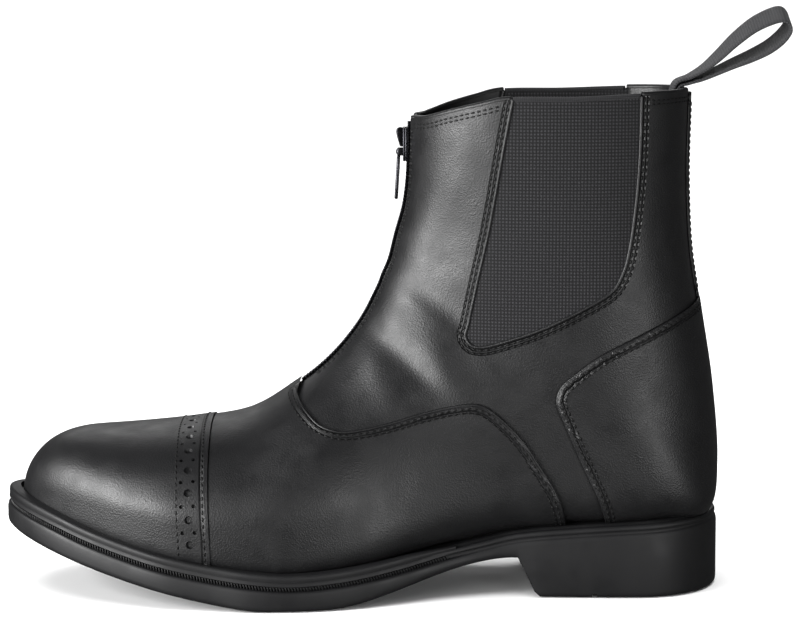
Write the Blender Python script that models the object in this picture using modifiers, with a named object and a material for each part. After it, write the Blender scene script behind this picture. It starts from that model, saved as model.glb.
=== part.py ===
"""Left paddock boot: zipped leather upper with elastic gores on a one-piece moulded sole.

The toe points along -X, the outer (lateral) side faces -Y and +Z is up. The origin is the middle
of the heel's flat floor face. Lengths in the tables are millimetres; `forward` is measured from
the back of the heel towards the toe.
"""
import math

import bmesh
import bpy
from mathutils import Matrix, Vector

MM = 0.001

# Driving dimensions, in millimetres
SOLE_LENGTH = 284.0
HEEL_CENTRE = 38.0
WALL = 2.0
GAP = 0.35
OVERLAY = 1.2
CAP_OVERLAY = 1.7

# Sole heights
BREAST_FLOOR = 73.5
BREAST_TOP = 81.0
ARCH_HEIGHT = 15.5
FLAT_BACK = 158.0
FLAT_FRONT = 182.0
TOE_SPRING = 25.0
SPRING_POWER = 1.36
HEEL_RADIUS = 33.0
TOE_ROUND = 70.0

# Top of the sole: forward, height
SOLE_TOP = (
    (0, 30.5), (10, 30.0), (30, 29.0), (54, 27.6), (80, 25.2), (95, 22.0), (111, 18.6),
    (127, 15.3), (150, 12.2), (170, 11.2), (187, 12.5), (200, 14.2), (223, 18.8),
    (247, 25.4), (264, 31.0), (284, 36.6),
)

# Sole outline before its ends are rounded: forward, lateral half width, medial half width
SOLE_OUTLINE = (
    (0, 33.0, 32.5), (40, 33.5, 32.5), (70, 32.5, 31.0), (88, 31.5, 27.5), (107, 35.0, 28.0),
    (127, 43.0, 33.0), (145, 50.0, 40.0), (165, 54.0, 46.5), (182, 54.5, 49.5),
    (200, 52.0, 49.5), (215, 50.0, 48.5), (240, 46.0, 46.5), (284, 43.0, 45.0),
)

# Side of the sole from top to bottom: height below the top, inset, share of groove
SOLE_SIDE = (
    (0.0, 1.6, 0.0),
    (0.9, 0.7, 0.0),
    (2.0, 0.9, 0.7),
    (3.4, 0.9, 0.7),
    (4.4, 0.3, 0.0),
)
GROOVE_DEPTH = 1.6
GROOVE_BACK = 100.0
GROOVE_FULL = 116.0
EDGE_ROUND = 1.2

# Last, from the toe's tip up to above the collar. Each row is a section in a plane through a low
# point (sole or back of heel) and a high point (instep or front of shaft).
LAST_COLUMNS = (
    "low_forward", "low_height", "high_forward", "high_height",
    "lateral", "medial", "widest", "low_power", "high_power",
)
LAST = (
    (275.5, 34.8, 275.5, 61.2, 38.0, 41.0, 0.42, 6.0, 2.3),
    (255, 28.5, 256, 60.2, 40.0, 42.0, 0.38, 7.0, 2.3),
    (228, 20.4, 231, 61.2, 43.8, 44.3, 0.36, 8.0, 2.3),
    (200, 14.6, 208, 63.8, 48.0, 45.5, 0.34, 8.0, 2.2),
    (172, 11.6, 186, 68.2, 49.2, 44.2, 0.33, 8.0, 2.1),
    (145, 13.1, 168.5, 78.6, 45.6, 38.6, 0.33, 6.5, 2.1),
    (115, 18.2, 154, 90.3, 38.3, 33.3, 0.34, 4.2, 2.1),
    (80, 25.7, 142.8, 103.8, 34.0, 32.0, 0.36, 4.5, 2.1),
    (45, 28.7, 135.6, 117.0, 33.8, 33.3, 0.38, 7.0, 2.1),
    (22, 30.4, 133.0, 123.4, 33.8, 33.3, 0.39, 6.0, 2.1),
    (5.4, 31.8, 130.4, 129.6, 33.8, 33.3, 0.40, 4.0, 2.1),
    (1.6, 50.0, 127.8, 139.8, 34.2, 33.6, 0.42, 2.5, 2.1),
    (3.9, 80.0, 124.9, 150.0, 34.5, 34.0, 0.44, 2.3, 2.1),
    (8.3, 108.0, 123.5, 159.0, 35.0, 34.5, 0.45, 2.3, 2.1),
    (12.6, 134.0, 122.9, 168.0, 35.8, 35.3, 0.46, 2.3, 2.1),
    (14.2, 162.0, 122.5, 180.0, 36.8, 36.3, 0.48, 2.3, 2.1),
    (13.8, 190.0, 122.2, 193.0, 37.5, 37.0, 0.50, 2.3, 2.1),
    (13.5, 206.0, 122.0, 206.0, 37.5, 37.0, 0.50, 2.3, 2.1),
)
LAST_TIP = 275.5
LAST_TOE_ROUND = 66.0
LAST_TOE_DOME = 22.5
TOE_FULLNESS = 0.54

AROUND = 32
PER_ROW = 2

# Welt
WELT_HEIGHT = 2.6
WELT_BACK = 108.0
WELT_WIDTH = 3.6
WELT_END_WIDTH = 1.4
WELT_INSET = 1.1
WELT_CREST = 0.8

# Seam lines on the side of the boot: forward, height
COLLAR_LINE = (
    (145, 186), (121, 185.8), (115, 186.7), (107, 189.2), (96, 192.0), (84.6, 194.4),
    (60, 194.6), (34, 195.6), (5, 196.4),
)
GORE_LINE = (
    (83.6, 205), (84.3, 194.0), (87.6, 176.5), (92.9, 145.2), (97.7, 122.9), (101.0, 106.9),
    (102.1, 102.6), (99.8, 98.8), (95.2, 97.9), (87.5, 99.7), (71.7, 105.4), (55.9, 113.2),
    (45.1, 119.9), (41.0, 126.2), (38.4, 134.6), (36.0, 150.8), (34.4, 170.5), (33.7, 205),
)
VAMP_LINE = (
    (165.2, 98), (165.4, 84.6), (166.6, 80.9), (167.3, 78.4), (166.0, 75.4), (162.7, 71.9),
    (158.3, 68.2), (153.2, 66.3), (147.8, 65.7), (139.4, 66.9), (129.7, 69.2), (119.3, 72.3),
    (107.0, 75.3), (99.0, 76.4), (93.8, 75.2), (87.6, 70.6), (79.5, 62.2), (73.7, 53.3),
    (67.9, 44.0), (64.3, 35.9), (62.0, 26.5),
)
COUNTER_LINE = (
    (-12, 119), (7.7, 114.8), (13.4, 112.4), (31.3, 104.2), (48.4, 95.8), (60.2, 87.3),
    (64.4, 83.2), (66.0, 78.8), (65.2, 74.6), (61.0, 64.9), (55.1, 51.4), (49.2, 38.7), (45.4, 27.5),
)
CAP_EDGE_TOP = 202.0
CAP_EDGE_FLOOR = 199.6

# Zip
ZIP_SLIT = 3.5
ZIP_TAPE_HALF = 3.1
ZIP_CHAIN_HALF = 2.0
ZIP_PROUD = 1.3
ZIP_FOOT = 164.8
ZIP_AXIS_FORWARD = 126.9
ZIP_AXIS_HEIGHT = 172.0
SLIDER_HALF = 4.2
SLIDER_LOW = 168.4
SLIDER_HIGH = 181.6
SLIDER_PLATE = 0.85
PIN_RADIUS = 0.45
PULL_HALF = 2.9
PULL_LENGTH = 18.6
PULL_THICK = 1.4
PULL_RING = 1.25
PULL_HOLE = 0.8
PULL_LEAN = 3.5

# Inner side of the zip's cutter, behind the front wall: forward, height
ZIP_ZONE = ((ZIP_FOOT, 72), (140, 88), (116, 120), (108, 160), (106, 240), (ZIP_FOOT, 240))

# Pull loop, from inside the collar, out along its lower strand and back: forward, height, twist
LOOP_PATH = (
    (18.5, 181.0, 0), (18.5, 190.0, 0), (17.8, 197.0, 0), (13.4, 198.9, 2), (7.4, 201.0, 5),
    (-3.8, 205.8, 10), (-12.6, 209.4, 14), (-20.4, 213.6, 17), (-26.2, 218.6, 20),
    (-28.4, 223.4, 22), (-24.4, 226.2, 22), (-14.4, 222.2, 20), (-5.4, 215.8, 17),
    (1.6, 209.4, 12), (7.2, 204.6, 6), (13.0, 201.2, 2), (18.8, 198.4, 0), (20.3, 190.0, 0),
    (20.3, 181.0, 0),
)
LOOP_WIDTH = 15.0
LOOP_THICK = 1.2

# Pieces inside and behind
LASTING_MARGIN = 14.0
INSOLE_LIFT = 4.0
INSOLE_THICK = 2.4
INSOLE_INSET = 13.0
STRAP_HALF = 7.0
NOTCH_FORWARD = 51.0
NOTCH_WIDTH = 2.0
NOTCH_HEIGHT = 1.4


def hermite(values, position):
    """Smooth curve through evenly spaced values."""
    index = min(int(position), len(values) - 2)
    part = position - index
    start, end = values[index], values[index + 1]
    before = values[index - 1] if index > 0 else start
    after = values[index + 2] if index + 2 < len(values) else end
    leave = (end - before) / 2
    arrive = (after - start) / 2
    return (
        (2 * part**3 - 3 * part**2 + 1) * start + (part**3 - 2 * part**2 + part) * leave
        + (3 * part**2 - 2 * part**3) * end + (part**3 - part**2) * arrive
    )


def along(table, forward, column=1):
    """Smooth value of a column at a distance from the back of the heel."""
    places = [row[0] for row in table]
    if forward <= places[0]:
        return table[0][column]
    if forward >= places[-1]:
        return table[-1][column]
    index = max(i for i, place in enumerate(places[:-1]) if place <= forward)
    slopes = [
        (table[i + 1][column] - table[i][column]) / (places[i + 1] - places[i])
        for i in range(len(table) - 1)
    ]

    def slope(i):
        if i == 0:
            return slopes[0]
        if i == len(slopes):
            return slopes[-1]
        return (slopes[i - 1] + slopes[i]) / 2

    step = places[index + 1] - places[index]
    part = (forward - places[index]) / step
    return (
        (2 * part**3 - 3 * part**2 + 1) * table[index][column]
        + (part**3 - 2 * part**2 + part) * step * slope(index)
        + (3 * part**2 - 2 * part**3) * table[index + 1][column]
        + (part**3 - part**2) * step * slope(index + 1)
    )


def ease(value, start, end):
    """Soft step from 0 at start to 1 at end."""
    part = min(max((value - start) / (end - start), 0.0), 1.0)
    return part * part * (3 - 2 * part)


def place(forward, across, height):
    """Point of the boot in metres."""
    return Vector(((HEEL_CENTRE - forward) * MM, across * MM, height * MM))


# Sole


def sole_top(forward):
    return along(SOLE_TOP, forward)


def sole_bottom(forward):
    if forward <= BREAST_FLOOR:
        return 0.0
    if forward <= BREAST_TOP:
        return ARCH_HEIGHT * (forward - BREAST_FLOOR) / (BREAST_TOP - BREAST_FLOOR)
    if forward <= FLAT_BACK:
        return ARCH_HEIGHT * (1 - ease(forward, BREAST_TOP, FLAT_BACK))
    if forward <= FLAT_FRONT:
        return 0.0
    share = (forward - FLAT_FRONT) / (SOLE_LENGTH - FLAT_FRONT)
    return TOE_SPRING * share**SPRING_POWER


def sole_half_width(forward, side):
    """Half width of the sole, side -1 lateral or 1 medial."""
    width = along(SOLE_OUTLINE, forward, 1 if side < 0 else 2)
    if forward < HEEL_RADIUS:
        back = (HEEL_RADIUS - forward) / HEEL_RADIUS
        width *= math.sqrt(max(1 - back * back, 0.0))
    front = (TOE_ROUND - (SOLE_LENGTH - forward)) / TOE_ROUND
    if front > 0:
        width *= max(1 - front * front, 0.0) ** TOE_FULLNESS
    return width


def sole_stations():
    """Distances forward at which the sole's outline has a point, closer at its round ends."""
    heel = [HEEL_RADIUS * (1 - math.cos(math.radians(a))) for a in range(0, 90, 12)]
    waist = [40, 48, 56, 65, BREAST_FLOOR, BREAST_TOP, 89, 97, 105, 113, 121, 130, 140, 150]
    ball = [FLAT_BACK, 166, 174, FLAT_FRONT, 190, 198, 206]
    toe = [
        SOLE_LENGTH - TOE_ROUND * (1 - math.sin(math.radians(a)))
        for a in (6, 14, 22, 30, 39, 48, 57, 66, 74, 82)
    ]
    return heel + waist + ball + toe + [SOLE_LENGTH]


def outline_ring(inset_at):
    """Lateral points from heel to toe, then medial points back to the heel, moved inwards by a
    distance that may change along the foot."""
    stations = sole_stations()
    ring = [(f, -sole_half_width(f, -1)) for f in stations]
    ring += [(f, sole_half_width(f, 1)) for f in stations[-2:0:-1]]
    count = len(ring)
    moved = []
    for i, (forward, across) in enumerate(ring):
        before, after = ring[i - 1], ring[(i + 1) % count]
        edge = Vector((after[0] - before[0], after[1] - before[1])).normalized()
        inset = inset_at(forward)
        moved.append((forward - edge.y * inset, across + edge.x * inset))
    return moved


def inner_ring(margin, toe_margin, count=18):
    """Plain outline that keeps a margin to the sole's edge, in the order of outline_ring."""
    back, front = margin + 1.5, SOLE_LENGTH - toe_margin
    stations = [back + (front - back) * (1 - math.cos(math.pi * i / (count - 1))) / 2
                for i in range(count)]
    lateral = [(f, margin - sole_half_width(f, -1)) for f in stations]
    medial = [(f, sole_half_width(f, 1) - margin) for f in stations[::-1]]
    return [(back - 1.5, 0)] + lateral + [(front + 3, 0)] + medial


def ring_solid(name, rings):
    """Closed solid from rings of equal count, its ends filled by strips from side to side."""
    mesh = bmesh.new()
    levels = [[mesh.verts.new(point) for point in ring] for ring in rings]
    count = len(levels[0])
    for lower, upper in zip(levels, levels[1:]):
        for i in range(count):
            j = (i + 1) % count
            mesh.faces.new((lower[i], lower[j], upper[j], upper[i]))
    half = count // 2
    for level in (levels[0], levels[-1]):
        mesh.faces.new((level[0], level[1], level[-1]))
        mesh.faces.new((level[half], level[half - 1], level[half + 1]))
        for i in range(1, half - 1):
            mesh.faces.new((level[i], level[i + 1], level[count - i - 1], level[count - i]))
    bmesh.ops.recalc_face_normals(mesh, faces=mesh.faces[:])
    return finish_mesh(name, mesh)


def finish_mesh(name, mesh):
    data = bpy.data.meshes.new(name)
    mesh.to_mesh(data)
    mesh.free()
    return bpy.data.objects.new(name, data)


# Last


def last_section(position):
    """Named sizes of the last's section at a position along its rows."""
    values = {
        column: hermite([row[i] for row in LAST], position)
        for i, column in enumerate(LAST_COLUMNS)
    }
    ahead = LAST_TIP - values["low_forward"]
    if ahead < LAST_TOE_ROUND:
        share = (1 - (1 - ahead / LAST_TOE_ROUND) ** 2) ** TOE_FULLNESS
        values["lateral"] *= share
        values["medial"] *= share
    if ahead < LAST_TOE_DOME:
        share = math.sqrt(1 - (1 - ahead / LAST_TOE_DOME) ** 2)
        rise = values["high_height"] - values["low_height"]
        values["high_height"] = values["low_height"] + rise * share
    return values


def last_point(position, angle):
    """Point of the last's skin; angle 0 is the instep ridge, 180 the sole or the heel's back,
    and negative angles are lateral."""
    size = last_section(position)
    rise = abs(math.cos(math.radians(angle)))
    reach = abs(math.sin(math.radians(angle)))
    widest = size["widest"]
    if abs(angle) <= 90:
        power = 2 / size["high_power"]
        share = widest + (1 - widest) * rise**power
    else:
        power = 2 / size["low_power"]
        share = widest * (1 - rise**power)
    across = reach**power * (size["lateral"] if angle < 0 else size["medial"])
    if angle < 0:
        across = -across
    forward = size["low_forward"] + (size["high_forward"] - size["low_forward"]) * share
    height = size["low_height"] + (size["high_height"] - size["low_height"]) * share
    return place(forward, across, height)


def last_positions(start, end, per_row=PER_ROW):
    """Positions along the rows, closer together at the toe's tip."""
    tip = [0.02, 0.1, 0.3, 0.65]
    steps = [row + i / per_row for row in range(1, len(LAST) - 1) for i in range(per_row)]
    every = tip + steps + [len(LAST) - 1]
    return [p for p in every if start <= p <= end]


def last_skin(name, start=0.0, end=None, offset=0.0, first=-180, sweep=360):
    """Open skin over part of the last, moved out by an offset in millimetres."""
    end = len(LAST) - 1 if end is None else end
    positions = last_positions(start, end)
    whole = sweep == 360
    steps = round(AROUND * sweep / 360)
    count = steps if whole else steps + 1
    angles = [first + sweep * i / steps for i in range(count)]
    angles = [a - 360 if a > 180 else a for a in angles]
    mesh = bmesh.new()
    rows = [[mesh.verts.new(last_point(p, a)) for a in angles] for p in positions]
    for lower, upper in zip(rows, rows[1:]):
        for i in range(count if whole else count - 1):
            j = (i + 1) % count
            mesh.faces.new((lower[j], lower[i], upper[i], upper[j]))
    if whole and start <= 0:
        mesh.faces.new(rows[0])
    mesh.normal_update()
    moves = [vertex.normal * offset * MM for vertex in mesh.verts]
    for vertex, move in zip(mesh.verts, moves):
        vertex.co += move
    return finish_mesh(name, mesh)


def solid_prism(name, outline, across_from, across_to):
    """Side outline pushed through the boot from one distance across to another."""
    mesh = bmesh.new()
    near = [mesh.verts.new(place(f, across_from, h)) for f, h in outline]
    face = mesh.faces.new(near)
    push = bmesh.ops.extrude_face_region(mesh, geom=[face])
    moved = [item for item in push["geom"] if isinstance(item, bmesh.types.BMVert)]
    bmesh.ops.translate(mesh, verts=moved, vec=(0, (across_to - across_from) * MM, 0))
    bmesh.ops.recalc_face_normals(mesh, faces=mesh.faces[:])
    return finish_mesh(name, mesh)


def solid_box(name, forward, across, height):
    """Box between two distances forward, across and up."""
    outline = [(forward[0], height[0]), (forward[1], height[0]), (forward[1], height[1]),
               (forward[0], height[1])]
    return solid_prism(name, outline, across[0], across[1])


def solid_pin(name, radius, half, sides=12):
    """Cylinder across the boot on the pull tab's axis."""
    mesh = bmesh.new()
    bmesh.ops.create_cone(
        mesh, cap_ends=True, segments=sides, radius1=radius * MM, radius2=radius * MM,
        depth=2 * half * MM,
    )
    bmesh.ops.rotate(mesh, verts=mesh.verts[:], matrix=Matrix.Rotation(math.pi / 2, 3, "X"))
    bmesh.ops.translate(mesh, verts=mesh.verts[:], vec=zip_axis())
    return finish_mesh(name, mesh)


def zip_axis():
    return place(ZIP_AXIS_FORWARD, 0, ZIP_AXIS_HEIGHT)


def inset_line(outline, distance):
    """Closed outline moved inwards by a distance."""
    area = sum(
        a[0] * b[1] - b[0] * a[1] for a, b in zip(outline, outline[1:] + outline[:1])
    )
    turn = 1 if area > 0 else -1
    moved = []
    for i, point in enumerate(outline):
        here = Vector(point)
        before = (here - Vector(outline[i - 1])).normalized()
        after = (Vector(outline[(i + 1) % len(outline)]) - here).normalized()
        first = Vector((-before.y, before.x)) * turn
        second = Vector((-after.y, after.x)) * turn
        middle = (first + second).normalized()
        moved.append(tuple(here + middle * distance / max(middle.dot(first), 0.4)))
    return moved


def boolean(target, cutter, operation="DIFFERENCE"):
    step = target.modifiers.new(cutter.name, "BOOLEAN")
    step.operation = operation
    step.solver = "EXACT"
    step.object = cutter


def thicken(item, amount, outwards=True):
    wall = item.modifiers.new("wall", "SOLIDIFY")
    wall.thickness = amount * MM
    wall.offset = 1 if outwards else -1
    wall.use_even_offset = True


def paint(item, name, colour, rough, metal=0.0):
    material = bpy.data.materials.get(name) or bpy.data.materials.new(name)
    material.use_nodes = True
    shader = material.node_tree.nodes["Principled BSDF"]
    linear = [channel ** 2.2 for channel in colour]
    shader.inputs["Base Color"].default_value = (*linear, 1)
    shader.inputs["Roughness"].default_value = rough
    shader.inputs["Metallic"].default_value = metal
    item.data.materials.append(material)


def leather(item):
    paint(item, "black_leather", (0.14, 0.14, 0.14), 0.4)


def rubber(item):
    paint(item, "black_rubber", (0.18, 0.18, 0.18), 0.6)


def elastic(item):
    paint(item, "elastic_web", (0.2, 0.2, 0.2), 0.85)


def webbing(item):
    paint(item, "grey_webbing", (0.29, 0.29, 0.29), 0.85)


def dark_metal(item):
    paint(item, "dark_metal", (0.25, 0.25, 0.25), 0.35, 1.0)


def board(item):
    paint(item, "insole_board", (0.22, 0.2, 0.19), 0.8)


def make_outsole():
    edge = outline_ring(lambda f: 0.0)
    rings = []
    for below, inset, groove in SOLE_SIDE:
        depth = groove * GROOVE_DEPTH
        ring = outline_ring(lambda f: inset + depth * ease(f, GROOVE_BACK, GROOVE_FULL))
        rings.append([place(f, a, sole_top(f) - below) for f, a in ring])
    for above, inset in ((EDGE_ROUND, 0.0), (0.0, EDGE_ROUND)):
        rings.append([
            place(f, a, sole_bottom(start[0]) + above)
            for (f, a), start in zip(outline_ring(lambda f: inset), edge)
        ])
    return ring_solid("outsole", rings)


def make_welt():
    """Rounded rib along the sole's edge, from one side of the waist around the toe."""
    def width_at(forward):
        reach = ease(forward, WELT_BACK, WELT_BACK + 50)
        return WELT_INSET + WELT_END_WIDTH + (WELT_WIDTH - WELT_END_WIDTH) * reach

    profile = (
        (lambda f: WELT_INSET, 0.0), (lambda f: WELT_INSET - 0.2, 0.5 * WELT_HEIGHT),
        (lambda f: WELT_INSET + WELT_CREST, WELT_HEIGHT), (width_at, WELT_HEIGHT),
        (width_at, 0.0),
    )
    mesh = bmesh.new()
    lines = [
        [place(f, a, sole_top(f) + GAP + up) for f, a in outline_ring(inset)]
        for inset, up in profile
    ]
    edge = outline_ring(lambda f: 0.0)
    inside = [i for i, point in enumerate(edge) if point[0] >= WELT_BACK]
    loops = [[mesh.verts.new(line[i]) for line in lines] for i in inside]
    for lower, upper in zip(loops, loops[1:]):
        for i in range(len(lower)):
            j = (i + 1) % len(lower)
            mesh.faces.new((lower[i], lower[j], upper[j], upper[i]))
    mesh.faces.new(loops[0])
    mesh.faces.new(loops[-1])
    bmesh.ops.recalc_face_normals(mesh, faces=mesh.faces[:])
    return finish_mesh("welt", mesh)


def make_insole():
    base = INSOLE_LIFT
    ring = inner_ring(INSOLE_INSET, 36.0)
    rings = [
        [place(f, a, sole_top(f) + base + up) for f, a in ring] for up in (INSOLE_THICK, 0.0)
    ]
    return ring_solid("insole", rings)


def floor_line(back, front, count=9):
    """Lower edge of an overlay, just above the welt or the sole's rim, from front to back."""
    points = []
    for i in range(count):
        forward = front + (back - front) * i / (count - 1)
        rise = WELT_HEIGHT * ease(forward, WELT_BACK - 12, WELT_BACK) + 2 * GAP
        points.append((forward, sole_top(forward) + rise))
    return points


class Cutters:
    """Keeps the cutting solids hidden in a collection of their own."""

    def __init__(self):
        self.group = bpy.data.collections.new("cutters")
        bpy.context.scene.collection.children.link(self.group)

    def keep(self, item):
        item.hide_render = True
        item.display_type = "WIRE"
        self.group.objects.link(item)
        return item


def make_upper(cutters):
    upper = last_skin("upper")
    thicken(upper, WALL, outwards=False)
    sole_hole = [
        [place(f, a, sole_top(f) + up) for f, a in inner_ring(LASTING_MARGIN, 26.0)]
        for up in (7.0, -4.0)
    ]
    boolean(upper, cutters.keep(ring_solid("cut_underside", sole_hole)))
    collar = list(COLLAR_LINE) + [(5, 240), (145, 240)]
    boolean(upper, cutters.keep(solid_prism("cut_collar", collar, -70, 70)))
    slit = solid_prism("cut_slit", ZIP_ZONE, -ZIP_SLIT, ZIP_SLIT)
    boolean(upper, cutters.keep(slit))
    for side, name in ((-1, "cut_gore_lateral"), (1, "cut_gore_medial")):
        window = solid_prism(name, list(GORE_LINE), 12 * side, 60 * side)
        boolean(upper, cutters.keep(window))
    return upper


def make_gore(name, side, cutters):
    """Elastic panel that fills one cut-out, a little below the leather."""
    first = -135 if side < 0 else 45
    gore = last_skin(name, 8, None, -0.5, first, 90)
    thicken(gore, 1.1, outwards=False)
    window = [point for point in GORE_LINE if point[1] < 200]
    outline = inset_line([(84.1, 194.2)] + window[1:] + [(33.8, 195.0)], GAP)
    boolean(gore, cutters.keep(solid_prism(name + "_shape", outline, 10 * side, 60 * side)),
            "INTERSECT")
    return gore


def make_toe_cap(cutters):
    cap = last_skin("toe_cap", 0, 4, GAP)
    thicken(cap, CAP_OVERLAY)
    shape = floor_line(CAP_EDGE_FLOOR, 290) + [(CAP_EDGE_TOP, 90), (290, 90)]
    boolean(cap, cutters.keep(solid_prism("toe_cap_shape", shape, -70, 70)), "INTERSECT")
    return cap


def make_vamp(cutters):
    vamp = last_skin("vamp", 2, 11, GAP)
    thicken(vamp, OVERLAY)
    top = [(CAP_EDGE_TOP - GAP, 98)] + list(VAMP_LINE)
    shape = floor_line(62.0, CAP_EDGE_FLOOR - GAP) + top[::-1]
    shape = shape[:9] + shape[10:]
    boolean(vamp, cutters.keep(solid_prism("vamp_shape", shape, -70, 70)), "INTERSECT")
    return vamp


def make_counter(cutters):
    counter = last_skin("heel_counter", 6, 15, GAP)
    thicken(counter, OVERLAY)
    shape = floor_line(-12, 45.4, 5) + list(COUNTER_LINE)
    boolean(counter, cutters.keep(solid_prism("counter_shape", shape[:-1], -70, 70)), "INTERSECT")
    return counter


def make_strap(cutters):
    strap = last_skin("back_strap", 12, None, GAP, 157.5, 45)
    thicken(strap, 1.0)
    shape = [(f, h + 2 * GAP) for f, h in COUNTER_LINE[:4]] + [(31, 195), (-12, 195.6)]
    prism = solid_prism("back_strap_shape", shape, -STRAP_HALF, STRAP_HALF)
    boolean(strap, cutters.keep(prism), "INTERSECT")
    return strap


def make_zip_strip(name, offset, thick, half, top, cutters):
    strip = last_skin(name, 4, None, offset, -22.5, 45)
    thicken(strip, thick)
    zone = [(min(f, ZIP_FOOT - 0.6), min(h, top)) for f, h in ZIP_ZONE]
    prism = solid_prism(name + "_shape", zone, -half, half)
    boolean(strip, cutters.keep(prism), "INTERSECT")
    return strip


def make_slider(cutters):
    front = ZIP_AXIS_FORWARD - PULL_RING - GAP
    back = front - SLIDER_PLATE
    slider = solid_box("zip_slider", (back, front), (-SLIDER_HALF, SLIDER_HALF),
                       (SLIDER_LOW, SLIDER_HIGH))
    ear_low = ZIP_AXIS_HEIGHT - 1.4
    ear_high = ZIP_AXIS_HEIGHT + 1.4
    for side in (-1, 1):
        flange = solid_box(f"slider_flange_{side}", (back - 1.2, back + 0.3),
                           (side * (ZIP_CHAIN_HALF + 0.5), side * SLIDER_HALF),
                           (SLIDER_LOW, SLIDER_HIGH))
        boolean(slider, cutters.keep(flange), "UNION")
        ear = solid_box(f"slider_ear_{side}", (front - 0.3, ZIP_AXIS_FORWARD + 0.9),
                        (side * 1.9, side * 2.8), (ear_low, ear_high))
        boolean(slider, cutters.keep(ear), "UNION")
    boolean(slider, cutters.keep(solid_pin("slider_pin", PIN_RADIUS, 2.3)), "UNION")
    return slider


def make_pull(cutters):
    """Pull tab, its origin on its hinge, hanging a little off the boot."""
    pull = solid_pin("zip_pull", PULL_RING, 1.5, 16)
    tab_top = ZIP_AXIS_HEIGHT - 1.9
    tab_low = ZIP_AXIS_HEIGHT - PULL_LENGTH
    span = (ZIP_AXIS_FORWARD - PULL_THICK / 2, ZIP_AXIS_FORWARD + PULL_THICK / 2)
    neck = solid_box("pull_neck", span, (-1.3, 1.3), (tab_top - 0.5, ZIP_AXIS_HEIGHT - 0.2))
    tab = solid_box("pull_tab", span, (-PULL_HALF, PULL_HALF), (tab_low, tab_top))
    boolean(pull, cutters.keep(neck), "UNION")
    boolean(pull, cutters.keep(tab), "UNION")
    boolean(pull, cutters.keep(solid_pin("pull_hole", PULL_HOLE, 4)))
    lean = (
        Matrix.Translation(zip_axis())
        @ Matrix.Rotation(math.radians(PULL_LEAN), 4, "Y")
        @ Matrix.Translation(-zip_axis())
    )
    for item in (pull, neck, tab):
        item.data.transform(lean)
        item.data.transform(Matrix.Translation(-zip_axis()))
        item.location = zip_axis()
    return pull


def make_pull_loop():
    """Webbing band folded into a loop and sewn inside the back of the collar."""
    columns = list(zip(*LOOP_PATH))
    count = 2 * (len(LOOP_PATH) - 1)
    mesh = bmesh.new()
    rows = []
    for i in range(count + 1):
        forward, height, twist = (hermite(column, i / 2) for column in columns)
        tilt = math.radians(twist)
        across = Vector((0, math.cos(tilt), math.sin(tilt))) * LOOP_WIDTH * MM
        centre = place(forward, 0, height)
        rows.append([mesh.verts.new(centre + across * part) for part in (-0.5, 0.5)])
    for lower, upper in zip(rows, rows[1:]):
        mesh.faces.new((lower[0], lower[1], upper[1], upper[0]))
    item = finish_mesh("pull_loop", mesh)
    thicken(item, LOOP_THICK)
    item.modifiers["wall"].offset = 0
    return item


def main():
    for item in list(bpy.data.objects):
        bpy.data.objects.remove(item)
    boot = bpy.data.collections.new("paddock_boot")
    bpy.context.scene.collection.children.link(boot)
    cutters = Cutters()
    outsole = make_outsole()
    notch = solid_box(
        "cut_notch", (NOTCH_FORWARD - NOTCH_WIDTH / 2, NOTCH_FORWARD + NOTCH_WIDTH / 2),
        (-60, 60), (-3, NOTCH_HEIGHT),
    )
    boolean(outsole, cutters.keep(notch))
    pieces = (
        (outsole, rubber),
        (make_welt(), rubber),
        (make_insole(), board),
        (make_upper(cutters), leather),
        (make_vamp(cutters), leather),
        (make_toe_cap(cutters), leather),
        (make_counter(cutters), leather),
        (make_strap(cutters), leather),
        (make_gore("gore_lateral", -1, cutters), elastic),
        (make_gore("gore_medial", 1, cutters), elastic),
        (make_zip_strip("zip_tape", -1.7, 1.0, ZIP_TAPE_HALF, 185.0, cutters), webbing),
        (make_zip_strip("zip_chain", -0.3, 0.3 + ZIP_PROUD, ZIP_CHAIN_HALF, 184.0, cutters),
         dark_metal),
        (make_slider(cutters), dark_metal),
        (make_pull(cutters), dark_metal),
        (make_pull_loop(), webbing),
    )
    for item, colour in pieces:
        colour(item)
        boot.objects.link(item)


main()
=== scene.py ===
"""Looks of a left paddock boot: black leather panels with sewn seams, elastic gores, a zip,
a moulded sole and a webbing pull loop, laid on the boot's own last."""
import math

import bpy
import numpy as np
from mathutils import Matrix, Vector
from mathutils.bvhtree import BVHTree
from mathutils.kdtree import KDTree


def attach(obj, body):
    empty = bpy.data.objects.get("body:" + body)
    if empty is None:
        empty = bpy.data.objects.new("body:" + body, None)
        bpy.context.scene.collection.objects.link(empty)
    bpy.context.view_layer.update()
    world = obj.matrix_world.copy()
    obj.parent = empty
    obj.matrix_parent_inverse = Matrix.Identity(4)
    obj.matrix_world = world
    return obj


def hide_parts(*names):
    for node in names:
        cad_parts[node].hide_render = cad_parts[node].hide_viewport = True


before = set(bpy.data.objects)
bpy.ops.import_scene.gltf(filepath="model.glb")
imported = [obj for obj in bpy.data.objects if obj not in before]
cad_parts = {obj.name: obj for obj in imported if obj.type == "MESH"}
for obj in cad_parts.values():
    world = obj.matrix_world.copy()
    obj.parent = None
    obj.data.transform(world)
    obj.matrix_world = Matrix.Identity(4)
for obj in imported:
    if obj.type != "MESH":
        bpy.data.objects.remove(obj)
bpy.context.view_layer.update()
MM = 0.001

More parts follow.
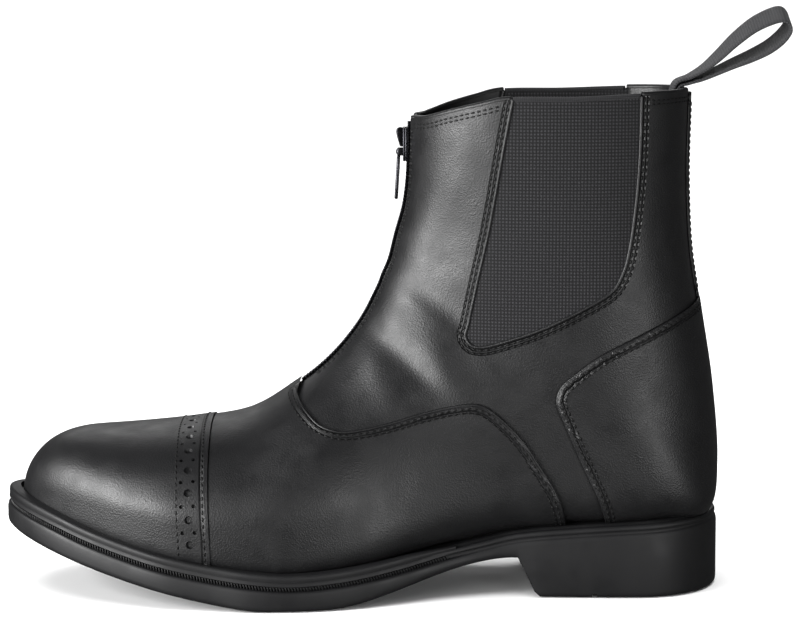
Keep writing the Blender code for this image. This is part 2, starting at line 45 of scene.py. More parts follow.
# Last and sole, in millimetres, as in the part's source
SOLE_LENGTH = 284.0
HEEL_CENTRE = 38.0
WALL = 2.0
GAP = 0.35
BREAST_FLOOR = 73.5
BREAST_TOP = 81.0
ARCH_HEIGHT = 15.5
FLAT_BACK = 158.0
FLAT_FRONT = 182.0
TOE_SPRING = 25.0
SPRING_POWER = 1.36
HEEL_RADIUS = 33.0
TOE_ROUND = 70.0
TOE_FULLNESS = 0.54
SOLE_TOP = np.array((
    (0, 30.5), (10, 30.0), (30, 29.0), (54, 27.6), (80, 25.2), (95, 22.0), (111, 18.6),
    (127, 15.3), (150, 12.2), (170, 11.2), (187, 12.5), (200, 14.2), (223, 18.8),
    (247, 25.4), (264, 31.0), (284, 36.6),
))
# Columns: forward, lateral half width, medial half width
SOLE_OUTLINE = np.array((
    (0, 33.0, 32.5), (40, 33.5, 32.5), (70, 32.5, 31.0), (88, 31.5, 27.5), (107, 35.0, 28.0),
    (127, 43.0, 33.0), (145, 50.0, 40.0), (165, 54.0, 46.5), (182, 54.5, 49.5),
    (200, 52.0, 49.5), (215, 50.0, 48.5), (240, 46.0, 46.5), (284, 43.0, 45.0),
))
# Columns: low forward, low height, high forward, high height, lateral, medial, widest,
# low power, high power
LAST = np.array((
    (275.5, 34.8, 275.5, 61.2, 38.0, 41.0, 0.42, 6.0, 2.3),
    (255, 28.5, 256, 60.2, 40.0, 42.0, 0.38, 7.0, 2.3),
    (228, 20.4, 231, 61.2, 43.8, 44.3, 0.36, 8.0, 2.3),
    (200, 14.6, 208, 63.8, 48.0, 45.5, 0.34, 8.0, 2.2),
    (172, 11.6, 186, 68.2, 49.2, 44.2, 0.33, 8.0, 2.1),
    (145, 13.1, 168.5, 78.6, 45.6, 38.6, 0.33, 6.5, 2.1),
    (115, 18.2, 154, 90.3, 38.3, 33.3, 0.34, 4.2, 2.1),
    (80, 25.7, 142.8, 103.8, 34.0, 32.0, 0.36, 4.5, 2.1),
    (45, 28.7, 135.6, 117.0, 33.8, 33.3, 0.38, 7.0, 2.1),
    (22, 30.4, 133.0, 123.4, 33.8, 33.3, 0.39, 6.0, 2.1),
    (5.4, 31.8, 130.4, 129.6, 33.8, 33.3, 0.40, 4.0, 2.1),
    (1.6, 50.0, 127.8, 139.8, 34.2, 33.6, 0.42, 2.5, 2.1),
    (3.9, 80.0, 124.9, 150.0, 34.5, 34.0, 0.44, 2.3, 2.1),
    (8.3, 108.0, 123.5, 159.0, 35.0, 34.5, 0.45, 2.3, 2.1),
    (12.6, 134.0, 122.9, 168.0, 35.8, 35.3, 0.46, 2.3, 2.1),
    (14.2, 162.0, 122.5, 180.0, 36.8, 36.3, 0.48, 2.3, 2.1),
    (13.8, 190.0, 122.2, 193.0, 37.5, 37.0, 0.50, 2.3, 2.1),
    (13.5, 206.0, 122.0, 206.0, 37.5, 37.0, 0.50, 2.3, 2.1),
))
LAST_TIP = 275.5
LAST_TOE_ROUND = 66.0
LAST_TOE_DOME = 34.0

# Seam lines on the side of the boot: forward, height
COLLAR_LINE = (
    (145, 186), (121, 185.8), (115, 186.7), (107, 189.2), (96, 192.0), (84.6, 194.4),
    (60, 194.6), (34, 195.6), (5, 196.4),
)
GORE_LINE = (
    (83.6, 205), (84.3, 194.0), (87.6, 176.5), (92.9, 145.2), (97.7, 122.9), (101.0, 106.9),
    (102.1, 102.6), (99.8, 98.8), (95.2, 97.9), (87.5, 99.7), (71.7, 105.4), (55.9, 113.2),
    (45.1, 119.9), (41.0, 126.2), (38.4, 134.6), (36.0, 150.8), (34.4, 170.5), (33.7, 205),
)
VAMP_LINE = (
    (165.2, 98), (165.4, 84.6), (166.6, 80.9), (167.3, 78.4), (166.0, 75.4), (162.7, 71.9),
    (158.3, 68.2), (153.2, 66.3), (147.8, 65.7), (139.4, 66.9), (129.7, 69.2), (119.3, 72.3),
    (107.0, 75.3), (99.0, 76.4), (93.8, 75.2), (87.6, 70.6), (79.5, 62.2), (73.7, 53.3),
    (67.9, 44.0), (64.3, 35.9), (62.0, 26.5),
)
COUNTER_LINE = (
    (-12, 119), (7.7, 114.8), (13.4, 112.4), (31.3, 104.2), (48.4, 95.8), (60.2, 87.3),
    (64.4, 83.2), (66.0, 78.8), (65.2, 74.6), (61.0, 64.9), (55.1, 51.4), (49.2, 38.7),
    (45.4, 27.5),
)
CAP_EDGE_TOP = 202.0
CAP_EDGE_FLOOR = 199.6
ZIP_SLIT = 3.5
ZIP_FOOT = 164.8
ZIP_ZONE = ((ZIP_FOOT, 72), (140, 88), (116, 120), (108, 160), (106, 240), (ZIP_FOOT, 240))
WELT_HEIGHT = 2.6
WELT_BACK = 108.0
GROOVE_BACK = 96
GROOVE_FULL = 116
INSOLE_LIFT = 4.0

# Leather laid over the quarters, and rows of stitches counted from a panel's edge
OVERLAY = 1.2
CAP_OVERLAY = 1.7
STRAP_OVERLAY = 1.0
PANEL_ROWS = (1.3, 3.0)
GORE_ROWS = (0.7, 2.2)
COLLAR_ROWS = (2.4, 3.9)
ZIP_ROWS = (5.0, 7.0)
CAP_ROW = 1.6
STRAP_ROW = 5.6
PANEL_PITCH = 2.7
SHAFT_PITCH = 2.5
FACING_LIFT = 0.02
SIDES = (-1, 1)

# Soft creases of the worn-in ankle: forward, height, slope in degrees, half length, half width,
# depth, on the lateral side and mirrored
CREASES = (
    (126, 93, -41, 22, 5.0, -1.1),
    (113, 97, -70, 22, 6.5, 0.6),
    (134, 84, -63, 13, 5.5, 0.6),
    (117, 140, 69, 34, 7.5, 0.7),
    (103, 104, -78, 16, 6.0, -0.5),
    (146, 92, 58, 14, 5.0, -0.4),
    (26, 146, 96, 26, 6.0, -0.3),
    (186, 44, 78, 16, 6.0, -0.2),
)


def hermite_rows(table, position):
    """Smooth rows of a table at positions counted in rows."""
    position = np.asarray(position, float)
    index = np.minimum(position.astype(int), len(table) - 2)
    part = (position - index)[:, None]
    start, end = table[index], table[index + 1]
    before = table[np.maximum(index - 1, 0)]
    after = table[np.minimum(index + 2, len(table) - 1)]
    return (
        (2 * part**3 - 3 * part**2 + 1) * start
        + (part**3 - 2 * part**2 + part) * (end - before) / 2
        + (3 * part**2 - 2 * part**3) * end + (part**3 - part**2) * (after - start) / 2
    )


def along(table, forward, column=1):
    """Smooth value of a column at a distance from the back of the heel."""
    places = table[:, 0]
    slopes = np.diff(table[:, column]) / np.diff(places)
    slope = np.concatenate([slopes[:1], (slopes[:-1] + slopes[1:]) / 2, slopes[-1:]])
    forward = np.clip(np.asarray(forward, float), places[0], places[-1])
    index = np.clip(np.searchsorted(places, forward, side="right") - 1, 0, len(table) - 2)
    step = places[index + 1] - places[index]
    part = (forward - places[index]) / step
    return (
        (2 * part**3 - 3 * part**2 + 1) * table[index, column]
        + (part**3 - 2 * part**2 + part) * step * slope[index]
        + (3 * part**2 - 2 * part**3) * table[index + 1, column]
        + (part**3 - part**2) * step * slope[index + 1]
    )


def ease(value, start, end):
    """Smooth step from 0 to 1 between two values."""
    part = np.clip((np.asarray(value, float) - start) / (end - start), 0, 1)
    return part * part * (3 - 2 * part)


def place(forward, across, height):
    """Point in metres from millimetres forward of the heel's back, across and up."""
    return np.stack(np.broadcast_arrays(
        (HEEL_CENTRE - np.asarray(forward)) * MM, np.asarray(across) * MM,
        np.asarray(height) * MM,
    ), -1)


def sole_bottom(forward):
    forward = np.asarray(forward, float)
    breast = (forward - BREAST_FLOOR) / (BREAST_TOP - BREAST_FLOOR)
    share = np.clip((forward - FLAT_FRONT) / (SOLE_LENGTH - FLAT_FRONT), 0, None)
    return np.where(
        forward <= FLAT_BACK,
        ARCH_HEIGHT * np.clip(breast, 0, 1) * (1 - ease(forward, BREAST_TOP, FLAT_BACK)),
        TOE_SPRING * share**SPRING_POWER,
    )


def sole_half_width(forward, side):
    forward = np.asarray(forward, float)
    width = along(SOLE_OUTLINE, forward, 1 if side < 0 else 2)
    back = np.clip((HEEL_RADIUS - forward) / HEEL_RADIUS, 0, 1)
    front = np.clip((TOE_ROUND - (SOLE_LENGTH - forward)) / TOE_ROUND, 0, 1)
    return width * np.sqrt(1 - back**2) * (1 - front**2) ** TOE_FULLNESS


def last_grid(positions, angles):
    """Points of the last; angle 0 is the instep ridge, 180 the sole or the heel's back."""
    size = hermite_rows(LAST, positions)
    low_f, low_h, high_f, high_h, lateral, medial, widest, low_n, high_n = size.T
    ahead = np.clip(LAST_TIP - low_f, 0, None)
    share = (1 - np.clip(1 - ahead / LAST_TOE_ROUND, 0, 1) ** 2) ** TOE_FULLNESS
    dome = np.sqrt(1 - np.clip(1 - ahead / LAST_TOE_DOME, 0, 1) ** 3)
    high_h = low_h + (high_h - low_h) * dome
    rise = np.abs(np.cos(np.radians(angles)))[None]
    reach = np.abs(np.sin(np.radians(angles)))[None]
    upper = (np.abs(angles) <= 90)[None]
    power = np.where(upper, 2 / high_n[:, None], 2 / low_n[:, None])
    widest = widest[:, None]
    part = np.where(upper, widest + (1 - widest) * rise**power, widest * (1 - rise**power))
    side = np.where(angles[None] < 0, -(lateral * share)[:, None], (medial * share)[:, None])
    forward = low_f[:, None] + (high_f - low_f)[:, None] * part
    height = low_h[:, None] + (high_h - low_h)[:, None] * part
    return place(forward, side * reach**power, height)


def grid_normals(points):
    """Outward normals of a closed-around grid."""
    rows = np.gradient(points, axis=0)
    around = np.roll(points, -1, 1) - np.roll(points, 1, 1)
    normal = np.cross(rows, around)
    length = np.linalg.norm(normal, axis=2, keepdims=True)
    return normal / np.maximum(length, 1e-12)


ROWS = np.concatenate([
    (np.linspace(0.07, 1, 26) ** 2) * 0.97, np.linspace(1, len(LAST) - 1, 190),
])
AROUND = 156
LINE_STEP = 0.6
ANGLES = np.linspace(-180, 180, AROUND, endpoint=False)


def skin():
    """Dense last with its creases: points and outward normals."""
    points = last_grid(ROWS, ANGLES)
    normals = grid_normals(points)
    forward = HEEL_CENTRE - points[:, :, 0] / MM
    height = points[:, :, 2] / MM
    level = np.zeros(forward.shape)
    for f, h, slope, length, width, depth in CREASES:
        turn = math.radians(slope)
        run = -(forward - f) * math.cos(turn) + (height - h) * math.sin(turn)
        off = (forward - f) * math.sin(turn) + (height - h) * math.cos(turn)
        level += depth * np.exp(-(run / length) ** 2 - (off / width) ** 2)
    level *= ease(np.abs(normals[:, :, 1]), 0.25, 0.7)
    points = points + normals * (level * MM)[:, :, None]
    return points, grid_normals(points)


SKIN, NORMALS = skin()


def link(item):
    bpy.context.scene.collection.objects.link(item)
    return item


def mesh_object(name, points, faces):
    data = bpy.data.meshes.new(name)
    data.from_pydata([tuple(p) for p in points], [], [tuple(f) for f in faces])
    data.update()
    return link(bpy.data.objects.new(name, data))


def grid_faces(rows, columns, closed, start=0):
    """Quads of a grid, its columns closed around or open."""
    i, j = np.meshgrid(np.arange(rows - 1), np.arange(columns if closed else columns - 1),
                       indexing="ij")
    k = (j + 1) % columns
    quads = np.stack([i * columns + j, i * columns + k, (i + 1) * columns + k,
                      (i + 1) * columns + j], -1)
    return (quads.reshape(-1, 4) + start)[:, ::-1]


def select_none():
    bpy.ops.object.select_all(action="DESELECT")


def select_only(item):
    select_none()
    item.select_set(True)
    bpy.context.view_layer.objects.active = item


def face_outwards(item):
    """Turns every face of a closed shape outwards."""
    select_only(item)
    bpy.ops.object.mode_set(mode="EDIT")
    bpy.ops.mesh.select_all(action="SELECT")
    bpy.ops.mesh.normals_make_consistent(inside=False)
    bpy.ops.object.mode_set(mode="OBJECT")
    return item


def finish_modifier(item, kind, **settings):
    """Adds a modifier and applies it at once."""
    select_only(item)
    step = item.modifiers.new(kind.lower(), kind)
    for key, value in settings.items():
        setattr(step, key, value)
    bpy.ops.object.modifier_apply(modifier=step.name)


def last_shell(name, offset, thickness, rows=(0, 99), angles=(-181, 181)):
    """Leather of even thickness over part of the last; its inner face lies at the offset."""
    keep_rows = [i for i, p in enumerate(ROWS) if rows[0] <= p <= rows[1]]
    columns = [j for j, a in enumerate(ANGLES) if angles[0] <= a <= angles[1]]
    if angles[1] > 180 and angles[0] > -180:
        columns = [j % AROUND for j in range(AROUND * 2)
                   if angles[0] <= -180 + 360 * j / AROUND <= angles[1]]
    whole = len(columns) == AROUND
    shape = (len(keep_rows), len(columns))
    points = SKIN[np.ix_(keep_rows, columns)].reshape(-1, 3)
    normals = NORMALS[np.ix_(keep_rows, columns)].reshape(-1, 3)
    inner = points + normals * offset * MM
    outer = points + normals * (offset + thickness) * MM
    faces = grid_faces(*shape, whole)
    count = len(points)
    shell = list(faces[:, ::-1]) + list(faces + count)
    rows_n, cols_n = shape
    rim = []
    first = list(range(cols_n))
    last = [(rows_n - 1) * cols_n + j for j in range(cols_n)]
    span = cols_n if whole else cols_n - 1
    for j in range(span):
        k = (j + 1) % cols_n
        rim.append((first[j], first[k], first[k] + count, first[j] + count))
        rim.append((last[k], last[j], last[j] + count, last[k] + count))
    if not whole:
        for i in range(rows_n - 1):
            a, b = i * cols_n, (i + 1) * cols_n
            rim.append((b, a, a + count, b + count))
            a, b = a + cols_n - 1, b + cols_n - 1
            rim.append((a, b, b + count, a + count))
    if rows[0] <= 0 and whole:
        rim = [face for face in rim if max(face[0], face[1]) >= cols_n]
        shell.append(tuple(first))
        shell.append(tuple(j + count for j in first[::-1]))
    item = mesh_object(name, np.concatenate([inner, outer]), shell + rim)
    lining = np.zeros(len(shell + rim), int)
    lining[:len(faces)] = 1
    item.data.polygons.foreach_set("material_index", lining)
    for _ in range(2):
        item.data.materials.append(None)
    return face_outwards(item)


def prism(outline, across_from, across_to):
    """Side outline pushed across the boot, to cut panels with."""
    count = len(outline)
    near = [place(f, across_from, h) for f, h in outline]
    far = [place(f, across_to, h) for f, h in outline]
    faces = [tuple(range(count)), tuple(range(2 * count - 1, count - 1, -1))]
    faces += [(i, i + count, (i + 1) % count + count, (i + 1) % count) for i in range(count)]
    return face_outwards(mesh_object("cutter", near + far, faces))


def cut(item, cutter, operation="DIFFERENCE"):
    finish_modifier(item, "BOOLEAN", object=cutter, operation=operation, solver="EXACT")
    bpy.data.objects.remove(cutter)


def smooth_line(line, step=1.0):
    """Points about a millimetre apart on a smooth curve through a seam line's own points."""
    line = np.array(line, float)
    spans = np.linalg.norm(np.diff(line, axis=0), axis=1)
    places = np.concatenate([
        i + np.arange(max(int(span / step), 2)) / max(int(span / step), 2)
        for i, span in enumerate(spans)
    ] + [[len(line) - 1]])
    return hermite_rows(line, np.minimum(places, len(line) - 1 - 1e-9))


def inset_line(outline, distance):
    """Closed outline moved inwards by a distance."""
    points = np.array(outline, float)
    after = np.roll(points, -1, 0) - points
    area = np.sum(points[:, 0] * np.roll(points[:, 1], -1)
                  - np.roll(points[:, 0], -1) * points[:, 1])
    turn = 1 if area > 0 else -1
    after /= np.linalg.norm(after, axis=1, keepdims=True)
    normal = np.stack([-after[:, 1], after[:, 0]], 1) * turn
    middle = normal + np.roll(normal, 1, 0)
    middle /= np.linalg.norm(middle, axis=1, keepdims=True)
    reach = np.maximum((middle * normal).sum(1), 0.4)
    return points + middle * (distance / reach)[:, None]


def floor_line(back, front, count=40):
    """Lower edge of a panel, just above the welt or the sole's rim, from front to back."""
    forward = np.linspace(front, back, count)
    rise = WELT_HEIGHT * ease(forward, WELT_BACK - 12, WELT_BACK) + 0.45
    return list(zip(forward, along(SOLE_TOP, forward) + rise))


BASE = BVHTree.FromPolygons(
    [tuple(p) for p in SKIN.reshape(-1, 3)],
    grid_faces(len(ROWS), AROUND, True).tolist(),
)


def on_side(forward, height, side):
    """Point of the bare last straight across from a point of its side view, if there is one."""
    start = Vector(place(forward, side * 90, height))
    return BASE.ray_cast(start, Vector((0, -side, 0)), 0.09)[0]


def on_front(across, height):
    """Point of the bare last straight behind a point of its front view."""
    return BASE.ray_cast(Vector(place(220, across, height)), Vector((1, 0, 0)), 0.25)[0]


def on_back(across, height):
    """Point of the bare last straight ahead of a point of its back view."""
    return BASE.ray_cast(Vector(place(-40, across, height)), Vector((-1, 0, 0)), 0.12)[0]


def surface_normal(point):
    """Nearest place on the last and the outward normal there."""
    near, _, index, _ = BASE.find_nearest(Vector(point))
    row, column = divmod(index, AROUND)
    corners = [NORMALS[row, column], NORMALS[row + 1, column]]
    corners += [NORMALS[row, (column + 1) % AROUND], NORMALS[row + 1, (column + 1) % AROUND]]
    normal = np.mean(corners, axis=0)
    return np.array(near), normal / np.linalg.norm(normal)


def even(points, step):
    """Points a set distance apart along a line in space, in millimetres."""
    points = np.array(points)
    lengths = np.concatenate([[0], np.cumsum(np.linalg.norm(np.diff(points, axis=0), axis=1))])
    count = max(int(round(lengths[-1] / (step * MM))), 2)
    marks = np.linspace(0, lengths[-1], count + 1)
    return np.stack([np.interp(marks, lengths, points[:, k]) for k in range(3)], 1)


def laid(hits):
    """Even line through the places where rays met the last."""
    return even([hit for hit in hits if hit is not None], LINE_STEP)


def side_seam(line, side):
    """A seam line laid on one side of the last."""
    return laid([on_side(f, h, side) for f, h in smooth_line(line)])


def cross_seam(offset):
    """Line over the forefoot at a distance in front of the toe cap's edge."""
    lines = []
    for j, angle in enumerate(ANGLES):
        if abs(angle) > 160:
            continue
        forward = HEEL_CENTRE - SKIN[:, j, 0] / MM
        height = SKIN[:, j, 2] / MM
        edge = CAP_EDGE_FLOOR + (CAP_EDGE_TOP - CAP_EDGE_FLOOR) * (height - 18) / 50 + offset
        over = forward - edge
        row = int(np.where((over[:-1] >= 0) & (over[1:] < 0))[0][0])
        part = over[row] / (over[row] - over[row + 1])
        point = SKIN[row, j] * (1 - part) + SKIN[row + 1, j] * part
        f = HEEL_CENTRE - point[0] / MM
        if point[2] / MM > float(along(SOLE_TOP, f)) + WELT_HEIGHT + 0.4:
            lines.append(point)
    return even(lines, LINE_STEP)


def beside(curve, distance, towards, lift):
    """Line on the leather at a distance from a seam, on the side of a point."""
    tangent = np.gradient(curve, axis=0)
    tangent /= np.linalg.norm(tangent, axis=1, keepdims=True)
    moved = []
    for point, run in zip(curve, tangent):
        _, normal = surface_normal(point)
        aside = np.cross(normal, run)
        if np.dot(aside, np.array(towards(point)) - point) < 0:
            aside = -aside
        near, normal = surface_normal(point + aside * distance * MM)
        moved.append(near + normal * lift * MM)
    return np.array(moved)


def points_and_faces(item):
    """Takes a small shape apart so that it can be repeated, and removes it."""
    points = np.array([v.co for v in item.data.vertices])
    faces = [tuple(p.vertices) for p in item.data.polygons]
    bpy.data.objects.remove(item)
    return points, faces


def small_brick(size, bevel):
    """Points and faces of a small block with rounded edges, in millimetres."""
    select_none()
    bpy.ops.mesh.primitive_cube_add(size=1)
    brick = bpy.context.object
    brick.data.transform(Matrix.Diagonal((*(np.array(size) * MM), 1)))
    finish_modifier(brick, "BEVEL", width=bevel * MM, segments=2)
    return points_and_faces(brick)


class Stitching:
    """Collects thread beads and makes them one joined mesh."""

    def __init__(self, name, length, width, height):
        select_none()
        bpy.ops.mesh.primitive_uv_sphere_add(segments=8, ring_count=5, radius=0.5)
        bead, self.faces = points_and_faces(bpy.context.object)
        self.points = bead[:, [2, 0, 1]] * np.array((length, width, height)) * MM
        self.name = name
        self.all_points = []
        self.all_faces = []

    def sew(self, curve, pitch):
        """Beads along a line that already lies on the leather."""
        marks = even(curve, pitch)
        tangent = np.gradient(marks, axis=0)
        for point, run in zip(marks[:-1] + np.diff(marks, axis=0) / 2, tangent):
            _, normal = surface_normal(point)
            run = run / np.linalg.norm(run)
            aside = np.cross(normal, run)
            aside /= np.linalg.norm(aside)
            up = np.cross(run, aside)
            start = len(self.points) * len(self.all_points)
            self.all_points.append(point + self.points @ np.array([run, aside, up]))
            self.all_faces += [tuple(k + start for k in face) for face in self.faces]

    def make(self):
        item = mesh_object(self.name, np.concatenate(self.all_points), self.all_faces)
        shade_smooth(item)
        return item


def shade_smooth(item, angle=180):
    select_only(item)
    if angle >= 180:
        bpy.ops.object.shade_smooth()
    else:
        bpy.ops.object.shade_smooth_by_angle(angle=math.radians(angle))


def tube(name, curves, radius, sides=8):
    """Rolled leather edges: round strips along lines."""
    points, faces = [], []
    for curve in curves:
        tangent = np.gradient(curve, axis=0)
        start = len(points)
        for point, run in zip(curve, tangent):
            _, normal = surface_normal(point)
            aside = np.cross(normal, run)
            aside /= np.linalg.norm(aside)
            up = np.cross(run / np.linalg.norm(run), aside)
            for k in range(sides):
                turn = 2 * math.pi * k / sides
                points.append(point + (aside * math.cos(turn) + up * math.sin(turn)) * radius * MM)
        faces += grid_faces(len(curve), sides, True, start).tolist()
        faces.append(tuple(start + k for k in range(sides)))
        end = start + (len(curve) - 1) * sides
        faces.append(tuple(end + k for k in range(sides))[::-1])
    item = face_outwards(mesh_object(name, points, faces))
    shade_smooth(item)
    return item


def mark_seams(item, curves):
    """Stores each point's distance in millimetres to the nearest seam, for the sewn troughs."""
    points = np.concatenate(curves)
    tree = KDTree(len(points))
    for i, point in enumerate(points):
        tree.insert(Vector(point), i)
    tree.balance()
    layer = item.data.attributes.new("seam_mm", "FLOAT", "POINT")
    values = [tree.find(v.co)[2] / MM for v in item.data.vertices]
    layer.data.foreach_set("value", values)


def colour(code):
    """Linear colour from an sRGB hex value."""
    parts = [int(code[i:i + 2], 16) / 255 for i in (1, 3, 5)]
    linear = [c / 12.92 if c <= 0.04045 else ((c + 0.055) / 1.055) ** 2.4 for c in parts]
    return (*linear, 1.0)


def add_node(tree, kind, settings=None, links=None):
    """Adds a shader node, sets its properties and inputs, and links its inputs."""
    node = tree.nodes.new(kind)
    for key, value in (settings or {}).items():
        if isinstance(key, str) and hasattr(node, key):
            setattr(node, key, value)
        else:
            node.inputs[key].default_value = value
    for key, source in (links or {}).items():
        tree.links.new(source, node.inputs[key])
    return node


def new_material(name, base, rough, **sockets):
    material = bpy.data.materials.new(name)
    material.use_nodes = True
    tree = material.node_tree
    shader = tree.nodes["Principled BSDF"]
    shader.inputs["Base Color"].default_value = colour(base)
    shader.inputs["Roughness"].default_value = rough
    for key, value in sockets.items():
        shader.inputs[key.replace("_", " ")].default_value = value
    return material, tree, shader


def object_coordinates(tree):
    return add_node(tree, "ShaderNodeTexCoord").outputs["Object"]


def uneven_gloss(tree, shader, size, detail, low, high):
    """Roughness that drifts between two values over patches of a size in millimetres."""
    cloud = add_node(tree, "ShaderNodeTexNoise", {"Scale": 1 / (size * MM), "Detail": detail},
                     {"Vector": object_coordinates(tree)})
    gloss = add_node(tree, "ShaderNodeMapRange", {"From Min": 0.3, "From Max": 0.7,
                                                  "To Min": low, "To Max": high},
                     {"Value": cloud.outputs["Fac"]})
    tree.links.new(gloss.outputs["Result"], shader.inputs["Roughness"])


def smooth_leather(name, rows=(), base="#0c0c0d"):
    """Corrected-grain calf, dyed through and waxed: fine pores, soft satin gloss.

    The pores are drawn a little coarser than real ones so that they show, and the rows are
    the distances in millimetres of troughs pulled in by stitches.
    """
    material, tree, shader = new_material(name, base, 0.45, Specular_IOR_Level=0.42,
                                          Coat_Weight=0.08, Coat_Roughness=0.3)
    spot = object_coordinates(tree)
    pores = add_node(tree, "ShaderNodeTexVoronoi", {"feature": "F1", "Scale": 1 / (0.62 * MM)},
                     {"Vector": spot})
    fine = add_node(tree, "ShaderNodeTexNoise", {"Scale": 1 / (0.35 * MM), "Detail": 3.0},
                    {"Vector": spot})
    uneven_gloss(tree, shader, 9, 4.0, 0.38, 0.52)
    mix = add_node(tree, "ShaderNodeMath", {"operation": "MULTIPLY_ADD", 1: 0.5},
                   {0: fine.outputs["Fac"], 2: pores.outputs["Distance"]})
    grain = add_node(tree, "ShaderNodeBump", {"Strength": 0.55, "Distance": 0.14 * MM},
                     {"Height": mix.outputs[0]})
    shape = grain
    if rows:
        seam = add_node(tree, "ShaderNodeAttribute", {"attribute_name": "seam_mm"})
        total = None
        for distance in rows:
            off = add_node(tree, "ShaderNodeMath", {"operation": "SUBTRACT", 1: distance},
                           {0: seam.outputs["Fac"]})
            size = add_node(tree, "ShaderNodeMath", {"operation": "ABSOLUTE"},
                            {0: off.outputs[0]})
            dip = add_node(tree, "ShaderNodeMapRange", {
                "interpolation_type": "SMOOTHSTEP", "From Min": 0.0, "From Max": 0.65,
                "To Min": 0.0, "To Max": 1.0}, {"Value": size.outputs[0]})
            if total is None:
                total = dip.outputs["Result"]
            else:
                total = add_node(tree, "ShaderNodeMath", {"operation": "MINIMUM"},
                                 {0: total, 1: dip.outputs["Result"]}).outputs[0]
        shape = add_node(tree, "ShaderNodeBump", {"Strength": 1.0, "Distance": 0.7 * MM},
                         {"Height": total, "Normal": grain.outputs["Normal"]})
    tree.links.new(shape.outputs["Normal"], shader.inputs["Normal"])
    return material


def woven(name, base, light, pitch, depth, rough):
    """Cloth of crossing threads at a set pitch in millimetres, read on the side of the boot.

    The pitch is about twice the real one, so that the threads show. The colour follows the
    threads' relief: the darker colour in the gaps is painted shade and the lighter one on the
    crests a painted sheen.
    """
    material, tree, shader = new_material(name, base, rough, Specular_IOR_Level=0.2,
                                          Sheen_Weight=0.06, Sheen_Roughness=0.5)
    spot = object_coordinates(tree)
    parts = add_node(tree, "ShaderNodeSeparateXYZ", None, {0: spot})
    waves = []
    for axis in ("X", "Z"):
        turn = add_node(tree, "ShaderNodeMath", {"operation": "MULTIPLY",
                                                 1: 2 * math.pi / (pitch * MM)},
                        {0: parts.outputs[axis]})
        wave = add_node(tree, "ShaderNodeMath", {"operation": "SINE"}, {0: turn.outputs[0]})
        waves.append(add_node(tree, "ShaderNodeMapRange",
                              {"From Min": -1.0, "From Max": 1.0}, {"Value": wave.outputs[0]}))
    relief_and_painted_shade = add_node(tree, "ShaderNodeMath", {"operation": "MULTIPLY"},
                     {0: waves[0].outputs["Result"], 1: waves[1].outputs["Result"]})
    # Painted light: the weave's relief also sets its colour, darker in the gaps as painted shade
    # and lighter on the crests as a painted sheen; the bump gives the real relief.
    mix = add_node(tree, "ShaderNodeMix", {"data_type": "RGBA"}, {"Factor": relief_and_painted_shade.outputs[0]})
    mix.inputs[6].default_value = colour(base)
    mix.inputs[7].default_value = colour(light)
    tree.links.new(mix.outputs[2], shader.inputs["Base Color"])
    bump = add_node(tree, "ShaderNodeBump", {"Strength": 0.8, "Distance": depth * MM},
                    {"Height": relief_and_painted_shade.outputs[0]})
    tree.links.new(bump.outputs["Normal"], shader.inputs["Normal"])
    return material


def moulded_rubber(name, base="#0f0f10"):
    """Injection-moulded rubber: dull, with a faint mould texture."""
    material, tree, shader = new_material(name, base, 0.5, Specular_IOR_Level=0.3)
    spot = object_coordinates(tree)
    noise = add_node(tree, "ShaderNodeTexNoise", {"Scale": 1 / (0.6 * MM), "Detail": 3.0},
                     {"Vector": spot})
    uneven_gloss(tree, shader, 14, 3.0, 0.42, 0.58)
    bump = add_node(tree, "ShaderNodeBump", {"Strength": 0.12, "Distance": 0.1 * MM},
                    {"Height": noise.outputs["Fac"]})
    tree.links.new(bump.outputs["Normal"], shader.inputs["Normal"])
    return material


def webbing_cloth(name):
    """Polyester webbing: twill ribs along its own length and width, from its UV map; the rib tops
    are painted lighter as sheen and the hollows darker as shade.
    """
    material, tree, shader = new_material(name, "#3c3c3e", 0.75, Specular_IOR_Level=0.3,
                                          Sheen_Weight=0.05, Sheen_Roughness=0.4)
    layer = add_node(tree, "ShaderNodeUVMap", {"uv_map": "cloth"})
    parts = add_node(tree, "ShaderNodeSeparateXYZ", None, {0: layer.outputs["UV"]})
    rib = add_node(tree, "ShaderNodeMath", {"operation": "MULTIPLY", 1: 2 * math.pi / 0.9},
                   {0: parts.outputs["X"]})
    cord = add_node(tree, "ShaderNodeMath", {"operation": "MULTIPLY_ADD", 1: 2 * math.pi / 1.1},
                    {0: parts.outputs["Y"], 2: rib.outputs[0]})
    first = add_node(tree, "ShaderNodeMath", {"operation": "SINE"}, {0: rib.outputs[0]})
    second = add_node(tree, "ShaderNodeMath", {"operation": "SINE"}, {0: cord.outputs[0]})
    total = add_node(tree, "ShaderNodeMath", {"operation": "MULTIPLY"},
                     {0: first.outputs[0], 1: second.outputs[0]})
    level = add_node(tree, "ShaderNodeMapRange", {"From Min": -1.0, "From Max": 1.0},
                     {"Value": total.outputs[0]})
    # Painted light: the ribs' relief also sets the colour, #161617 in the hollows as painted shade
    # and #343436 on the tops as a painted sheen.
    mix = add_node(tree, "ShaderNodeMix", {"data_type": "RGBA"},
                   {"Factor": level.outputs["Result"]})
    mix.inputs[6].default_value = colour("#161617")
    mix.inputs[7].default_value = colour("#343436")
    tree.links.new(mix.outputs[2], shader.inputs["Base Color"])
    bump = add_node(tree, "ShaderNodeBump", {"Strength": 0.7, "Distance": 0.25 * MM},
                    {"Height": level.outputs["Result"]})
    tree.links.new(bump.outputs["Normal"], shader.inputs["Normal"])
    return material


def plated_metal(name):
    """Black-nickel plated die-cast zinc: dark, fairly glossy."""
    material, tree, shader = new_material(name, "#333336", 0.28, Metallic=1.0)
    uneven_gloss(tree, shader, 1.5, 2.0, 0.22, 0.36)
    return material


